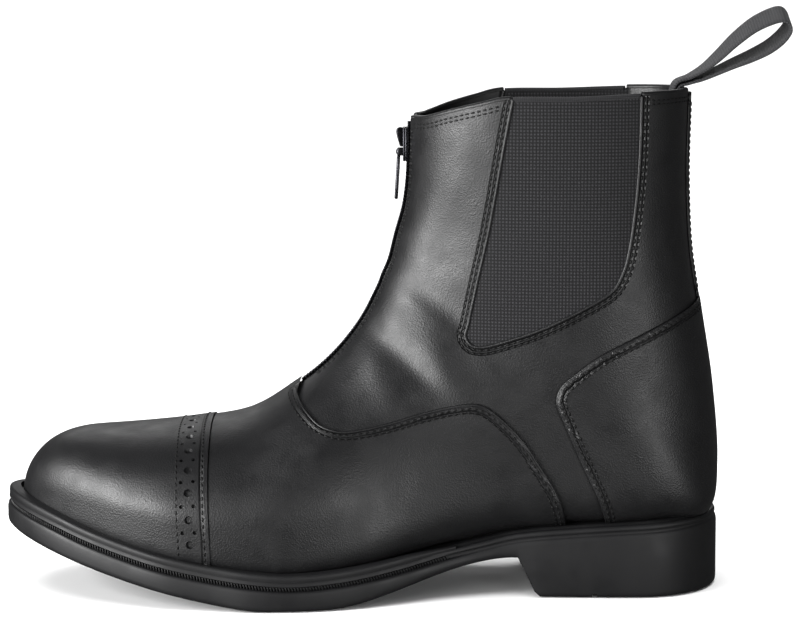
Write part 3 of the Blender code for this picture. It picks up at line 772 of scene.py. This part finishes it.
def thread(name):
    """Bonded polyester thread, black and slightly glossy."""
    material, tree, shader = new_material(name, "#070707", 0.5, Specular_IOR_Level=0.25)
    spot = object_coordinates(tree)
    twist = add_node(tree, "ShaderNodeTexNoise", {"Scale": 1 / (0.3 * MM), "Detail": 2.0},
                     {"Vector": spot})
    bump = add_node(tree, "ShaderNodeBump", {"Strength": 0.3, "Distance": 0.1 * MM},
                    {"Height": twist.outputs["Fac"]})
    tree.links.new(bump.outputs["Normal"], shader.inputs["Normal"])
    return material


def dress(item, materials, slot, *nodes, angle=40):
    """Gives a piece its materials, shading and body, and hides the given parts; the slot argument
    is not used.
    """
    item.data.materials.clear()
    for material in materials if isinstance(materials, tuple) else (materials,):
        item.data.materials.append(material)
    shade_smooth(item, angle)
    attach(item, "boot")
    if nodes:
        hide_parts(*nodes)
    return item


def sole_outline():
    """Closed outline of the sole seen from above, lateral side first: forward and across."""
    heel = HEEL_RADIUS * (1 - np.cos(np.radians(np.arange(0, 90, 4.5))))
    middle = np.linspace(HEEL_RADIUS, SOLE_LENGTH - TOE_ROUND, 84)
    toe = SOLE_LENGTH - TOE_ROUND * (1 - np.sin(np.radians(np.arange(2.5, 90, 2.5))))
    forward = np.concatenate([heel, middle, toe, [SOLE_LENGTH]])
    back = forward[-2:0:-1]
    return np.stack([
        np.concatenate([forward, back]),
        np.concatenate([-sole_half_width(forward, -1), sole_half_width(back, 1)]),
    ], 1)


def inset_ring(ring, inset):
    """Closed outline seen from above, moved inwards by a distance at each point."""
    edge = np.roll(ring, -1, 0) - np.roll(ring, 1, 0)
    edge /= np.linalg.norm(edge, axis=1, keepdims=True)
    return ring + np.stack([-edge[:, 1], edge[:, 0]], 1) * np.asarray(inset)[..., None]


def inner_outline(margin, toe_margin, count=60):
    """Plain outline that keeps a margin to the sole's edge."""
    back, front = margin + 1.5, SOLE_LENGTH - toe_margin
    stations = back + (front - back) * (1 - np.cos(np.pi * np.arange(count) / (count - 1))) / 2
    lateral = np.stack([stations, margin - sole_half_width(stations, -1)], 1)
    medial = np.stack([stations, sole_half_width(stations, 1) - margin], 1)[::-1]
    return np.concatenate([[(back - 1.5, 0)], lateral, [(front + 3, 0)], medial])


def solid_of_rings(name, rings):
    """Closed solid from rings of equal count, its ends filled with strips from side to side."""
    count = len(rings[0])
    faces = grid_faces(len(rings), count, True).tolist()
    half = count // 2
    for start, turn in ((0, 1), ((len(rings) - 1) * count, -1)):
        ends = [(0, 1, count - 1), (half, half - 1, half + 1)]
        ends += [(i, i + 1, count - i - 1, count - i) for i in range(1, half - 1)]
        faces += [tuple(start + k for k in f)[::turn] for f in ends]
    return face_outwards(mesh_object(name, np.concatenate(rings), faces))


# Side of the sole from its top down: below the top, inset, share of the groove
SOLE_SIDE = (
    (-0.9, 6.5, 0), (-0.9, 3.6, 0), (-0.7, 3.0, 0), (-0.2, 2.6, 0), (0, 2.3, 0), (0, 1.7, 0),
    (0.12, 1.25, 0), (0.42, 0.95, 0), (0.9, 0.72, 0), (1.45, 0.64, 0), (1.8, 0.68, 0.2),
    (1.95, 0.78, 0.8), (2.1, 0.9, 1.0), (2.75, 0.92, 1.0), (3.25, 0.85, 1.0),
    (3.4, 0.7, 0.7), (3.6, 0.5, 0.1), (3.9, 0.35, 0), (4.6, 0.2, 0), (5.4, 0.05, 0),
)
SOLE_FOOT = ((2.2, 0.0), (1.2, 0.1), (0.7, 0.3), (0.3, 0.65), (0.08, 1.05), (0, 1.5), (0, 3.2))
GROOVE_DEEP = 1.5
NOTCH = (51.0, 2.0, 1.4)


def make_outsole(material):
    """Moulded sole and heel: rim lip, imitation stitch groove, heel notch and tread."""
    ring = sole_outline()
    top = along(SOLE_TOP, ring[:, 0])
    foot = sole_bottom(ring[:, 0])
    share = ease(ring[:, 0], GROOVE_BACK, GROOVE_FULL)
    rings = []
    height = top + 2
    for below, inset, groove in SOLE_SIDE:
        lip = 0.8 + (inset - 0.8) * (1 - share) if below <= 0.42 and inset < 2 else inset
        height = np.minimum(top - below, height - 0.02)
        edge = inset_ring(ring, lip + groove * share * GROOVE_DEEP)
        rings.append(place(edge[:, 0], edge[:, 1], height))
    for above, inset in SOLE_FOOT:
        height = np.minimum(height - 0.02, foot + above) if above > 0 else foot
        edge = inset_ring(ring, inset + 0 * foot)
        rings.append(place(edge[:, 0], edge[:, 1], height))
    item = solid_of_rings("outsole_rubber", rings)
    cut(item, tread_cutter())
    return dress(item, material, "rubber", "outsole")


def tread_cutter():
    """Joined bars under the sole: the heel's notch across it, and short grooves inside."""
    bars = [(NOTCH[0], 120.0, 120.0, NOTCH[1], NOTCH[2])]
    for forward in list(range(10, 46, 6)) + [58, 64] + list(range(126, 262, 7)):
        lateral = sole_half_width(np.array([forward]), -1)[0] - 8
        medial = sole_half_width(np.array([forward]), 1)[0] - 8
        bars.append((forward, lateral, medial, 2.0, 0.9))
    points, faces = [], []
    for forward, lateral, medial, wide, deep in bars:
        for end in (forward - wide / 2, forward + wide / 2):
            level = float(sole_bottom(end))
            points += [place(end, -lateral, level - 3), place(end, medial, level - 3),
                       place(end, medial, level + deep), place(end, -lateral, level + deep)]
        k = len(points) - 8
        faces += [(k, k + 1, k + 2, k + 3), (k + 7, k + 6, k + 5, k + 4)]
        faces += [(k + i, k + i + 4, k + (i + 1) % 4 + 4, k + (i + 1) % 4) for i in range(4)]
    return face_outwards(mesh_object("tread_cutter", points, faces))


def groove_ribs(material):
    """Fine moulded ribs across the groove, like the stitches of a sewn welt."""
    ring = sole_outline()
    share = ease(ring[:, 0], GROOVE_BACK, GROOVE_FULL)
    edge = inset_ring(ring, 0.85 + share * GROOVE_DEEP)
    line = place(edge[:, 0], edge[:, 1], along(SOLE_TOP, edge[:, 0]) - 2.6)
    marks = even(line[ring[:, 0] > 106], 1.15)
    run = np.gradient(marks, axis=0)
    shape, brick_faces = small_brick((0.6, 2.2, 1.7), 0.24)
    points, faces = [], []
    for mark, way in zip(marks[1:-1], run[1:-1]):
        way = way / np.linalg.norm(way)
        out = np.cross(way, (0, 0, 1.0))
        out /= np.linalg.norm(out)
        lean = way * 0.35 + np.cross(out, way)
        faces += [tuple(k + len(points) * len(shape) for k in face) for face in brick_faces]
        points.append(mark + shape @ np.array([way, out, lean]))
    item = mesh_object("groove_ribs", np.concatenate(points), faces)
    return dress(item, material, "rubber", angle=50)


def make_welt(material):
    """Rounded rib along the sole's edge around the forefoot, fading out at the waist."""
    ring = sole_outline()
    inside = ring[:, 0] >= WELT_BACK - 4
    rise = ease(ring[:, 0], WELT_BACK, WELT_BACK + 50)
    tall = 0.25 + 0.75 * ease(ring[:, 0], WELT_BACK - 6, WELT_BACK + 18)
    width = 1.1 + 1.4 + (4.2 - 1.4) * rise
    profile = ((0.95, -0.8), (0.8, 0.3), (0.78, 1.0), (0.86, 1.6), (1.08, 2.08), (1.45, 2.4),
               (1.95, 2.55))
    lines = []
    for inset, up in profile + ((None, 2.55), (None, -0.8)):
        edge = inset_ring(ring, inset + 0 * width if inset else width)
        level = up * tall if up > 0 else up
        lines.append(place(edge[:, 0], edge[:, 1],
                           along(SOLE_TOP, ring[:, 0]) + GAP + level)[inside])
    sections = np.stack(lines, 1)
    rows, columns = sections.shape[:2]
    faces = grid_faces(rows, columns, True).tolist()
    faces += [tuple(range(columns)), tuple(range((rows - 1) * columns, rows * columns))[::-1]]
    item = face_outwards(mesh_object("welt_rubber", sections.reshape(-1, 3), faces))
    return dress(item, material, "rubber", "welt")


def make_insole(material):
    """Board inside the upper, with a softly rounded rim."""
    ring = inner_outline(13.0, 36.0)
    rings = []
    for up, inset in ((2.4, 1.2), (2.3, 0.6), (1.9, 0.15), (1.4, 0.0), (0.5, 0.0), (0.0, 0.4)):
        edge = inset_ring(ring, inset + 0 * ring[:, 0])
        height = along(SOLE_TOP, edge[:, 0]) + INSOLE_LIFT + up
        rings.append(place(edge[:, 0], edge[:, 1], height))
    return dress(solid_of_rings("insole_board", rings), material, "board", "insole")


def make_quarters(materials):
    """Quarters of the shaft with their cut-outs for the gores, the collar and the zip."""
    item = last_shell("quarters", -WALL, WALL)
    cut(item, prism(list(COLLAR_LINE) + [(5, 240), (145, 240)], -70, 70))
    cut(item, prism(ZIP_ZONE, -ZIP_SLIT, ZIP_SLIT))
    for side in SIDES:
        cut(item, prism(smooth_line(GORE_LINE), 12 * side, 60 * side))
    return dress(item, materials, "leather", "upper")


def make_toe_cap(materials):
    """Cap over the toe; its brogue holes are drilled once the seams are laid."""
    item = last_shell("toe_cap_leather", GAP, CAP_OVERLAY, rows=(0, 3.6))
    shape = floor_line(CAP_EDGE_FLOOR, 290) + [(CAP_EDGE_TOP, 90), (290, 90)]
    cut(item, prism(shape, -70, 70), "INTERSECT")
    return dress(item, materials, "leather", "toe_cap")


def make_vamp(materials):
    """Forefoot panel, up to a point at the foot of the zip."""
    item = last_shell("vamp_leather", GAP, OVERLAY, rows=(2.2, 9.5))
    line = [tuple(p) for p in smooth_line(VAMP_LINE)]
    foot = floor_line(62.0, CAP_EDGE_FLOOR - GAP)[:-1]
    shape = foot + line[::-1] + [(CAP_EDGE_TOP - GAP, 98)]
    cut(item, prism(shape, -70, 70), "INTERSECT")
    return dress(item, materials, "leather", "vamp")


def make_counter(materials):
    """Stiff panel around the heel, rising to the back seam."""
    item = last_shell("counter_leather", GAP, OVERLAY, rows=(6, 15))
    line = [tuple(p) for p in smooth_line(COUNTER_LINE)]
    shape = floor_line(-12, 45.4) + line[:-1]
    cut(item, prism(shape, -70, 70), "INTERSECT")
    return dress(item, materials, "leather", "heel_counter")


def make_strap(materials):
    """Narrow strip over the back seam, above the counter."""
    item = last_shell("back_strap_leather", GAP, STRAP_OVERLAY, rows=(11.5, 17),
                      angles=(150, 210))
    shape = [(f, h + 2 * GAP) for f, h in COUNTER_LINE[:4]] + [(31, 195), (-12, 195.6)]
    cut(item, prism(shape, -7, 7), "INTERSECT")
    return dress(item, materials, "leather", "back_strap")


def make_gore(side, material):
    """Elastic panel behind one cut-out of the quarters."""
    angles = (-150, -30) if side < 0 else (30, 150)
    name = "lateral" if side < 0 else "medial"
    item = last_shell(f"gore_cloth_{name}", -1.6, 1.1, rows=(8, 17), angles=angles)
    window = [p for p in smooth_line(GORE_LINE) if p[1] < 200]
    outline = [(84.1, 194.2)] + [tuple(p) for p in window if p[1] < 193.6] + [(33.8, 195.0)]
    cut(item, prism(inset_line(outline, 0.1), 10 * side, 60 * side), "INTERSECT")
    return dress(item, material, "elastic", f"gore_{name}")


leather = smooth_leather("calf_leather")
leather_sewn = smooth_leather("calf_leather_sewn", PANEL_ROWS)
leather_shaft = smooth_leather("calf_leather_shaft", GORE_ROWS)
lining = smooth_leather("pigskin_lining", base="#141414")
rubber = moulded_rubber("moulded_rubber")
board = moulded_rubber("insole_foam", "#1b1a1a")
# Each weave gets a gap colour that is painted shade and a crest colour that is a painted sheen.
elastic = woven("elastic_weave", "#0b0b0c", "#2b2b2d", 1.3, 0.25, 0.8)
tape_cloth = woven("zip_tape_weave", "#161617", "#2a2a2c", 0.7, 0.12, 0.8)
cloth = webbing_cloth("polyester_webbing")
metal = plated_metal("black_nickel")
sewing = thread("bonded_thread")

quarters = make_quarters((leather_shaft, lining))
cap = make_toe_cap((leather_sewn, lining))
vamp = make_vamp((leather_sewn, lining))
counter = make_counter((leather_sewn, lining))
strap = make_strap((leather_sewn, lining))
make_gore(-1, elastic)
make_gore(1, elastic)
make_outsole(rubber)
groove_ribs(rubber)
make_welt(rubber)
make_insole(board)

# Seam lines on the last
vamp_edges = [side_seam(VAMP_LINE, side) for side in SIDES]
counter_edges = [side_seam(COUNTER_LINE, side) for side in SIDES]
GORE_SEAM = [(84.3, 194.2)] + [p for p in GORE_LINE if p[1] < 190] + [(33.9, 195.2)]
gore_edges = [side_seam(GORE_SEAM, side) for side in SIDES]
cap_edge = cross_seam(0)
band_edge = cross_seam(11.6)


def lifted(curve, lift):
    """Line moved off the bare last by a distance in millimetres."""
    moved = []
    for point in curve:
        _, normal = surface_normal(point)
        moved.append(point + normal * lift * MM)
    return np.array(moved)


def offset_rows(stitching, curve, distances, lift, towards):
    """Rows of stitches at distances from a seam."""
    for distance in distances:
        stitching.sew(beside(curve, distance, towards, lift), PANEL_PITCH)


def side_of(forward, height):
    """Gives, for a point of a seam, the place to measure towards on the same side."""
    def towards(point):
        return place(forward, point[1] / MM, height)
    return towards


def inside_gore(point):
    height = min(max(point[2] / MM, 112), 205)
    return place(66 - (height - 112) * 0.05, point[1] / MM, height + 4)


def outside_gore(point):
    return 2 * np.array(point) - inside_gore(point)


threads = Stitching("seam_threads", 1.8, 0.75, 0.62)
top_of_overlay = GAP + OVERLAY + 0.12
top_of_cap = GAP + CAP_OVERLAY + FACING_LIFT
for curve in vamp_edges:
    offset_rows(threads, curve, PANEL_ROWS, top_of_overlay, side_of(150, 20))
for curve in counter_edges:
    offset_rows(threads, curve, PANEL_ROWS, top_of_overlay, side_of(5, 45))
for curve in gore_edges:
    offset_rows(threads, curve, GORE_ROWS, FACING_LIFT, outside_gore)
offset_rows(threads, cap_edge, (CAP_ROW,), top_of_cap, side_of(270, 40))
offset_rows(threads, band_edge, (0.0,), top_of_cap, side_of(270, 40))


def collar_run(side, back, front, drop):
    """Line under the collar between two distances forward."""
    line = [(f, h - drop) for f, h in smooth_line(COLLAR_LINE) if back <= f <= front]
    return laid([on_side(f, h, side) for f, h in line])


for side in SIDES:
    for drop in COLLAR_ROWS:
        threads.sew(lifted(collar_run(side, 87.5, 121, drop), FACING_LIFT), SHAFT_PITCH)
        threads.sew(lifted(collar_run(side, 14.2, 31, drop), FACING_LIFT), SHAFT_PITCH)


def ridge_run(low, high, across):
    """Line up the front of the shaft beside the zip."""
    return laid([on_front(across, height) for height in np.arange(low, high, 1.0)])


for side in SIDES:
    for across in ZIP_ROWS:
        threads.sew(lifted(ridge_run(84.5, 182.5, across * side), FACING_LIFT), SHAFT_PITCH)


def back_run(low, high, across):
    """Line up the back of the shaft beside the back seam."""
    return laid([on_back(across, height) for height in np.arange(low, high, 1.0)])


for across in (-STRAP_ROW, STRAP_ROW):
    seam = lifted(back_run(118, 193, across), GAP + STRAP_OVERLAY + FACING_LIFT)
    threads.sew(seam, SHAFT_PITCH)
threads = threads.make()
threads.data.materials.append(sewing)
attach(threads, "boot")

rolls = [lifted(curve, GAP + 0.65) for curve in vamp_edges + counter_edges]
rolls.append(lifted(cap_edge, GAP + 0.85))
dress(tube("rolled_edges", rolls, 0.55), leather, "leather", angle=180)
welted = [beside(curve, 0.5, inside_gore, -0.45) for curve in gore_edges]
dress(tube("gore_edges", welted, 0.65), leather, "leather", angle=180)
collar_rolls = []
for side in SIDES:
    collar_rolls.append(lifted(collar_run(side, 84.6, 121.4, 0), -1.0))
    collar_rolls.append(lifted(collar_run(side, 13.5, 34, 0), -1.0))
front_edges = [lifted(ridge_run(80.5, 184.6, 3.9 * side), -0.6) for side in SIDES]
dress(tube("zip_facings", front_edges, 0.75), leather, "leather", angle=180)
dress(tube("collar_edges", collar_rolls, 1.12, 12), leather, "leather", angle=180)
bindings = [lifted(collar_run(side, 34.2, 84.0, 0.4), -1.0) for side in SIDES]
dress(tube("gore_bindings", bindings, 1.0, 12), tape_cloth, "elastic", angle=180)

mark_seams(quarters, gore_edges)
mark_seams(vamp, vamp_edges)
mark_seams(counter, counter_edges)
mark_seams(strap, [back_run(118, 193, -7), back_run(118, 193, 7)])



def make_zip_strip(name, offset, thick, half, top):
    """Cloth strip up the front, in the slit of the quarters."""
    item = last_shell(name, offset, thick, rows=(3.6, 17), angles=(-16, 16))
    zone = [(min(f + 1.2, ZIP_FOOT + 1.2), min(h, top)) for f, h in ZIP_ZONE]
    cut(item, prism(zone, -half, half), "INTERSECT")
    return item


dress(make_zip_strip("zip_cloth", -1.7, 1.0, 3.2, 185.0), tape_cloth, "webbing", "zip_tape")


def make_teeth():
    """Interlocking teeth, one joined mesh."""
    line = []
    for height in np.arange(79.6, 183.8, 0.5):
        hit = on_front(0, height)
        if hit is not None and HEEL_CENTRE - hit[0] / MM < ZIP_FOOT + 0.8:
            line.append(hit)
    marks = even(line, 0.75)
    run = np.gradient(marks, axis=0)
    shape, brick_faces = small_brick((0.78, 2.5, 1.5), 0.22)
    points, faces = [], []
    for i, (mark, way) in enumerate(zip(marks, run)):
        way = way / np.linalg.norm(way)
        out = np.cross((0, 1, 0), way)
        out = out if out[0] < 0 else -out
        across = np.cross(out, way)
        side = 0.62 if i % 2 else -0.62
        centre = mark + out * 0.35 * MM + np.array((0, side, 0)) * MM
        faces += [tuple(k + len(points) * len(shape) for k in face) for face in brick_faces]
        points.append(centre + shape @ np.array([way, across, out]))
    item = mesh_object("zip_teeth", np.concatenate(points), faces)
    return dress(item, metal, "metal", "zip_chain", angle=50)


make_teeth()
AXIS = place(126.9, 0, 172.0)


def rounded_block(name, size, centre, bevel, segments=3):
    """Block with rounded edges, its size and centre as forward, across and height."""
    select_none()
    bpy.ops.mesh.primitive_cube_add(size=1)
    item = bpy.context.object
    item.name = name
    item.data.transform(Matrix.Diagonal((*(np.array(size) * MM), 1)))
    item.data.transform(Matrix.Translation(place(*centre)))
    finish_modifier(item, "BEVEL", width=bevel * MM, segments=segments)
    return item


def rod(name, radius, half, bevel=0.0):
    """Pin across the boot on the pull tab's axis."""
    select_none()
    bpy.ops.mesh.primitive_cylinder_add(vertices=32, radius=radius * MM, depth=2 * half * MM)
    item = bpy.context.object
    item.name = name
    item.data.transform(Matrix.Rotation(math.pi / 2, 4, "X"))
    item.data.transform(Matrix.Translation(AXIS))
    if bevel:
        finish_modifier(item, "BEVEL", width=bevel * MM, segments=3, limit_method="ANGLE")
    return item


def union(item, *others):
    for other in others:
        cut(item, other, "UNION")


def make_slider():
    """Slider plate with flanges, a crown and two ears that hold the pull tab's pin."""
    body = rounded_block("zip_slider_body", (0.95, 8.4, 13.2), (124.87, 0, 175.0), 0.35)
    for side in SIDES:
        flange = rounded_block("flange", (1.5, 1.7, 13.2), (123.7, side * 3.35, 175.0), 0.3)
        ear = rounded_block("ear", (2.7, 0.9, 2.9), (126.2, side * 2.35, 172.0), 0.4)
        union(body, flange, ear)
    crown = prism(((125.0, 174.0), (126.5, 174.0), (127.55, 177.6), (128.1, 180.0),
                   (127.6, 181.2), (126.4, 181.7), (125.0, 181.3)), -1.3, 1.3)
    finish_modifier(crown, "BEVEL", width=0.4 * MM, segments=3)
    union(body, crown, rod("pin", 0.45, 2.3))
    return dress(body, metal, "metal", "zip_slider", angle=50)


def make_pull():
    """Die-cast pull tab with a ring at its top, a sunk panel and a slot at its end."""
    pull = rod("zip_pull_tab", 1.25, 1.5, 0.25)
    neck = rounded_block("neck", (1.3, 2.6, 3.4), (126.9, 0, 169.6), 0.25)
    tab = rounded_block("tab", (1.4, 5.8, 16.7), (126.9, 0, 161.75), 0.55, 4)
    union(pull, neck, tab)
    for ahead in (127.6, 126.2):
        cut(pull, rounded_block("panel", (0.7, 3.4, 7.6), (ahead, 0, 164.6), 0.3))
    cut(pull, rounded_block("slot", (4, 2.6, 2.2), (126.9, 0, 156.9), 0.8))
    cut(pull, rod("eye", 0.8, 4))
    lean = (Matrix.Translation(AXIS) @ Matrix.Rotation(math.radians(3.5), 4, "Y")
            @ Matrix.Translation(-Vector(AXIS)))
    pull.data.transform(lean)
    pull.data.materials.clear()
    pull.data.materials.append(metal)
    shade_smooth(pull, 50)
    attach(pull, "zip_pull")
    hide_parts("zip_pull")
    return pull


make_slider()
make_pull()

# Pull loop of webbing; forward, height, twist in degrees
LOOP_PATH = np.array((
    (18.5, 181, 0), (18.5, 190, 0), (17.8, 197, 0), (13.4, 198.9, 2), (7.4, 201, 5),
    (-3.2, 205.8, 10), (-11.2, 209.2, 14), (-18.4, 213.0, 17), (-23.8, 217.8, 20),
    (-25.8, 222.4, 22), (-22.2, 225.3, 22), (-13.0, 221.8, 20), (-4.8, 215.6, 17),
    (1.6, 209.4, 12), (7.2, 204.6, 6), (13, 201.2, 2), (18.8, 198.4, 0), (20.3, 190, 0),
    (20.3, 181, 0),
), float)


def make_loop(material):
    """Folded webbing band with rounded selvedges and its length and width as a UV map."""
    path = hermite_rows(LOOP_PATH, np.linspace(0, len(LOOP_PATH) - 1 - 1e-6, 150))
    tilt = np.radians(path[:, 2])
    middle = place(path[:, 0], 0 * tilt, path[:, 1])
    across = np.stack([0 * tilt, np.cos(tilt), np.sin(tilt)], 1)
    run = np.gradient(middle, axis=0)
    run /= np.linalg.norm(run, axis=1, keepdims=True)
    out = np.cross(run, across)
    half, thick = 7.5, 0.6
    bow = np.linspace(-1, 1, 13)
    face = [(b * (half - thick * 0.4), thick * (1 - 0.25 * max(abs(b) - 0.86, 0) / 0.14))
            for b in bow]
    edge = [(half - 0.08, thick * 0.45), (half, 0.0), (half - 0.08, -thick * 0.45)]
    section = face + edge + [(a, -t) for a, t in face[::-1]] + [(-a, -t) for a, t in edge]
    rings = [middle + (across * a + out * t) * MM for a, t in section]
    points = np.stack(rings, 1)
    rows, columns = points.shape[:2]
    faces = grid_faces(rows, columns, True).tolist()
    faces += [tuple(range(columns)), tuple(range((rows - 1) * columns, rows * columns))[::-1]]
    item = mesh_object("loop_webbing", points.reshape(-1, 3), faces)
    lengths = np.concatenate([[0], np.cumsum(np.linalg.norm(np.diff(middle, axis=0), axis=1))])
    layer = item.data.uv_layers.new(name="cloth")
    for loop in item.data.loops:
        row, column = divmod(loop.vertex_index, columns)
        layer.data[loop.index].uv = (section[column][0], lengths[row] / MM)
    face_outwards(item)
    return dress(item, material, "webbing", "pull_loop", angle=50)


make_loop(cloth)

# Pinholes of the brogue band
hole_line = cross_seam(7.0)
HOLE_PITCH = 9.4


def hole_marks():
    """Places of the large holes on the band's middle line, even about the instep."""
    steps = np.linalg.norm(np.diff(hole_line, axis=0), axis=1) / MM
    run = np.concatenate([[0], np.cumsum(steps)])
    ridge = run[int(np.argmax(hole_line[:, 2]))]
    wanted = ridge + (np.arange(-9, 9) + 0.5) * HOLE_PITCH
    return [int(np.argmin(np.abs(run - w))) for w in wanted if 3 < w < run[-1] - 3]


def drill(holes):
    """Joined pins for cutting holes: place on the leather and radius in millimetres."""
    points, faces = [], []
    sides = 20
    for spot, radius in holes:
        near, normal = surface_normal(spot)
        aside = np.cross(normal, (0, 0, 1.0))
        aside /= np.linalg.norm(aside)
        up = np.cross(normal, aside)
        turns = 2 * np.pi * np.arange(sides) / sides
        ring = (np.outer(np.cos(turns), aside) + np.outer(np.sin(turns), up)) * radius * MM
        start = len(points) * 2 * sides
        points.append(np.concatenate([near + ring * 0.85 + normal * 0.9 * MM,
                                      near + ring * 1.35 + normal * 2.3 * MM]))
        faces += [(start + k, start + (k + 1) % sides, start + sides + (k + 1) % sides,
                   start + sides + k) for k in range(sides)]
        faces.append(tuple(start + k for k in range(sides))[::-1])
        faces.append(tuple(start + sides + k for k in range(sides)))
    return face_outwards(mesh_object("drill", np.concatenate(points), faces))


marks = hole_marks()
holes = [(hole_line[m], 1.25) for m in marks]
for first, second in zip(marks, marks[1:]):
    middle = hole_line[(first + second) // 2]
    forward = HEEL_CENTRE - middle[0] / MM
    for ahead in (-2.1, 2.6):
        side = -1 if middle[1] < 0 else 1
        aside = beside(hole_line[(first + second) // 2 - 2:(first + second) // 2 + 3],
                       abs(ahead), side_of(forward + 90 * np.sign(ahead), middle[2] / MM), 0)
        holes.append((aside[2], 0.6))
cut(cap, drill(holes))
mark_seams(cap, [cap_edge])
shade_smooth(cap, 40)

# Photograph's camera: a little above the collar, almost level; focal length in pixels
CAMERA_AT = (-0.0896, -0.9747, 0.2455)
FOCAL_PIXELS = 2477.7
PICTURE_WIDTH = 800
SENSOR = 36
LOOK_DOWN = 8.02
YAW = -0.057
ROLL = -0.141
data = bpy.data.cameras.new("photo_camera")
data.lens = FOCAL_PIXELS * SENSOR / PICTURE_WIDTH
data.sensor_width = SENSOR
data.clip_start = 0.05
camera = link(bpy.data.objects.new("photo_camera", data))
camera.location = CAMERA_AT
camera.rotation_euler = (Matrix.Rotation(math.radians(YAW), 3, "Z")
                         @ Matrix.Rotation(math.radians(90 - LOOK_DOWN), 3, "X")
                         @ Matrix.Rotation(math.radians(ROLL), 3, "Z")).to_euler()
bpy.context.scene.camera = camera


def soft_light(name, location, aim, size, power):
    """Large softbox aimed at a point; its size in metres and power in watts."""
    data = bpy.data.lights.new(name, "AREA")
    data.shape = "RECTANGLE"
    data.size, data.size_y = size
    data.energy = power
    lamp = link(bpy.data.objects.new(name, data))
    lamp.location = location
    way = Vector(aim) - Vector(location)
    lamp.rotation_euler = way.to_track_quat("-Z", "Y").to_euler()


soft_light("left_panel", (-1.2, -0.5, 0.42), (-0.12, 0, 0.1), (0.6, 0.8), 28)
soft_light("left_low", (-0.95, -0.88, 0.14), (-0.12, 0, 0.06), (0.5, 0.26), 13)
soft_light("right_low", (0.62, -1.05, 0.16), (-0.02, 0, 0.07), (0.6, 0.4), 7)
soft_light("behind", (-0.1, 1.2, 0.7), (-0.1, 0, 0.1), (1.2, 0.6), 3)
sky = bpy.data.lights.new("ceiling", "SUN")
sky.energy = 4.6
sky.angle = math.radians(70)
ceiling = link(bpy.data.objects.new("ceiling", sky))
ceiling.location = (0, 0, 2)
ceiling.visible_glossy = False

bpy.ops.mesh.primitive_plane_add(size=300)
floor = bpy.context.object
floor.name = "pale_floor"
floor.data.materials.append(new_material("pale_paper", "#f4f4f4", 0.9)[0])
floor.location = (0, 0, -0.0003)
floor.visible_glossy = False
world = bpy.data.worlds.new("studio")
world.use_nodes = True
world.node_tree.nodes["Background"].inputs["Color"].default_value = (1, 1, 1, 1)
world.node_tree.nodes["Background"].inputs["Strength"].default_value = 0.08
bpy.context.scene.world = world
bpy.context.scene.view_settings.view_transform = "Standard"
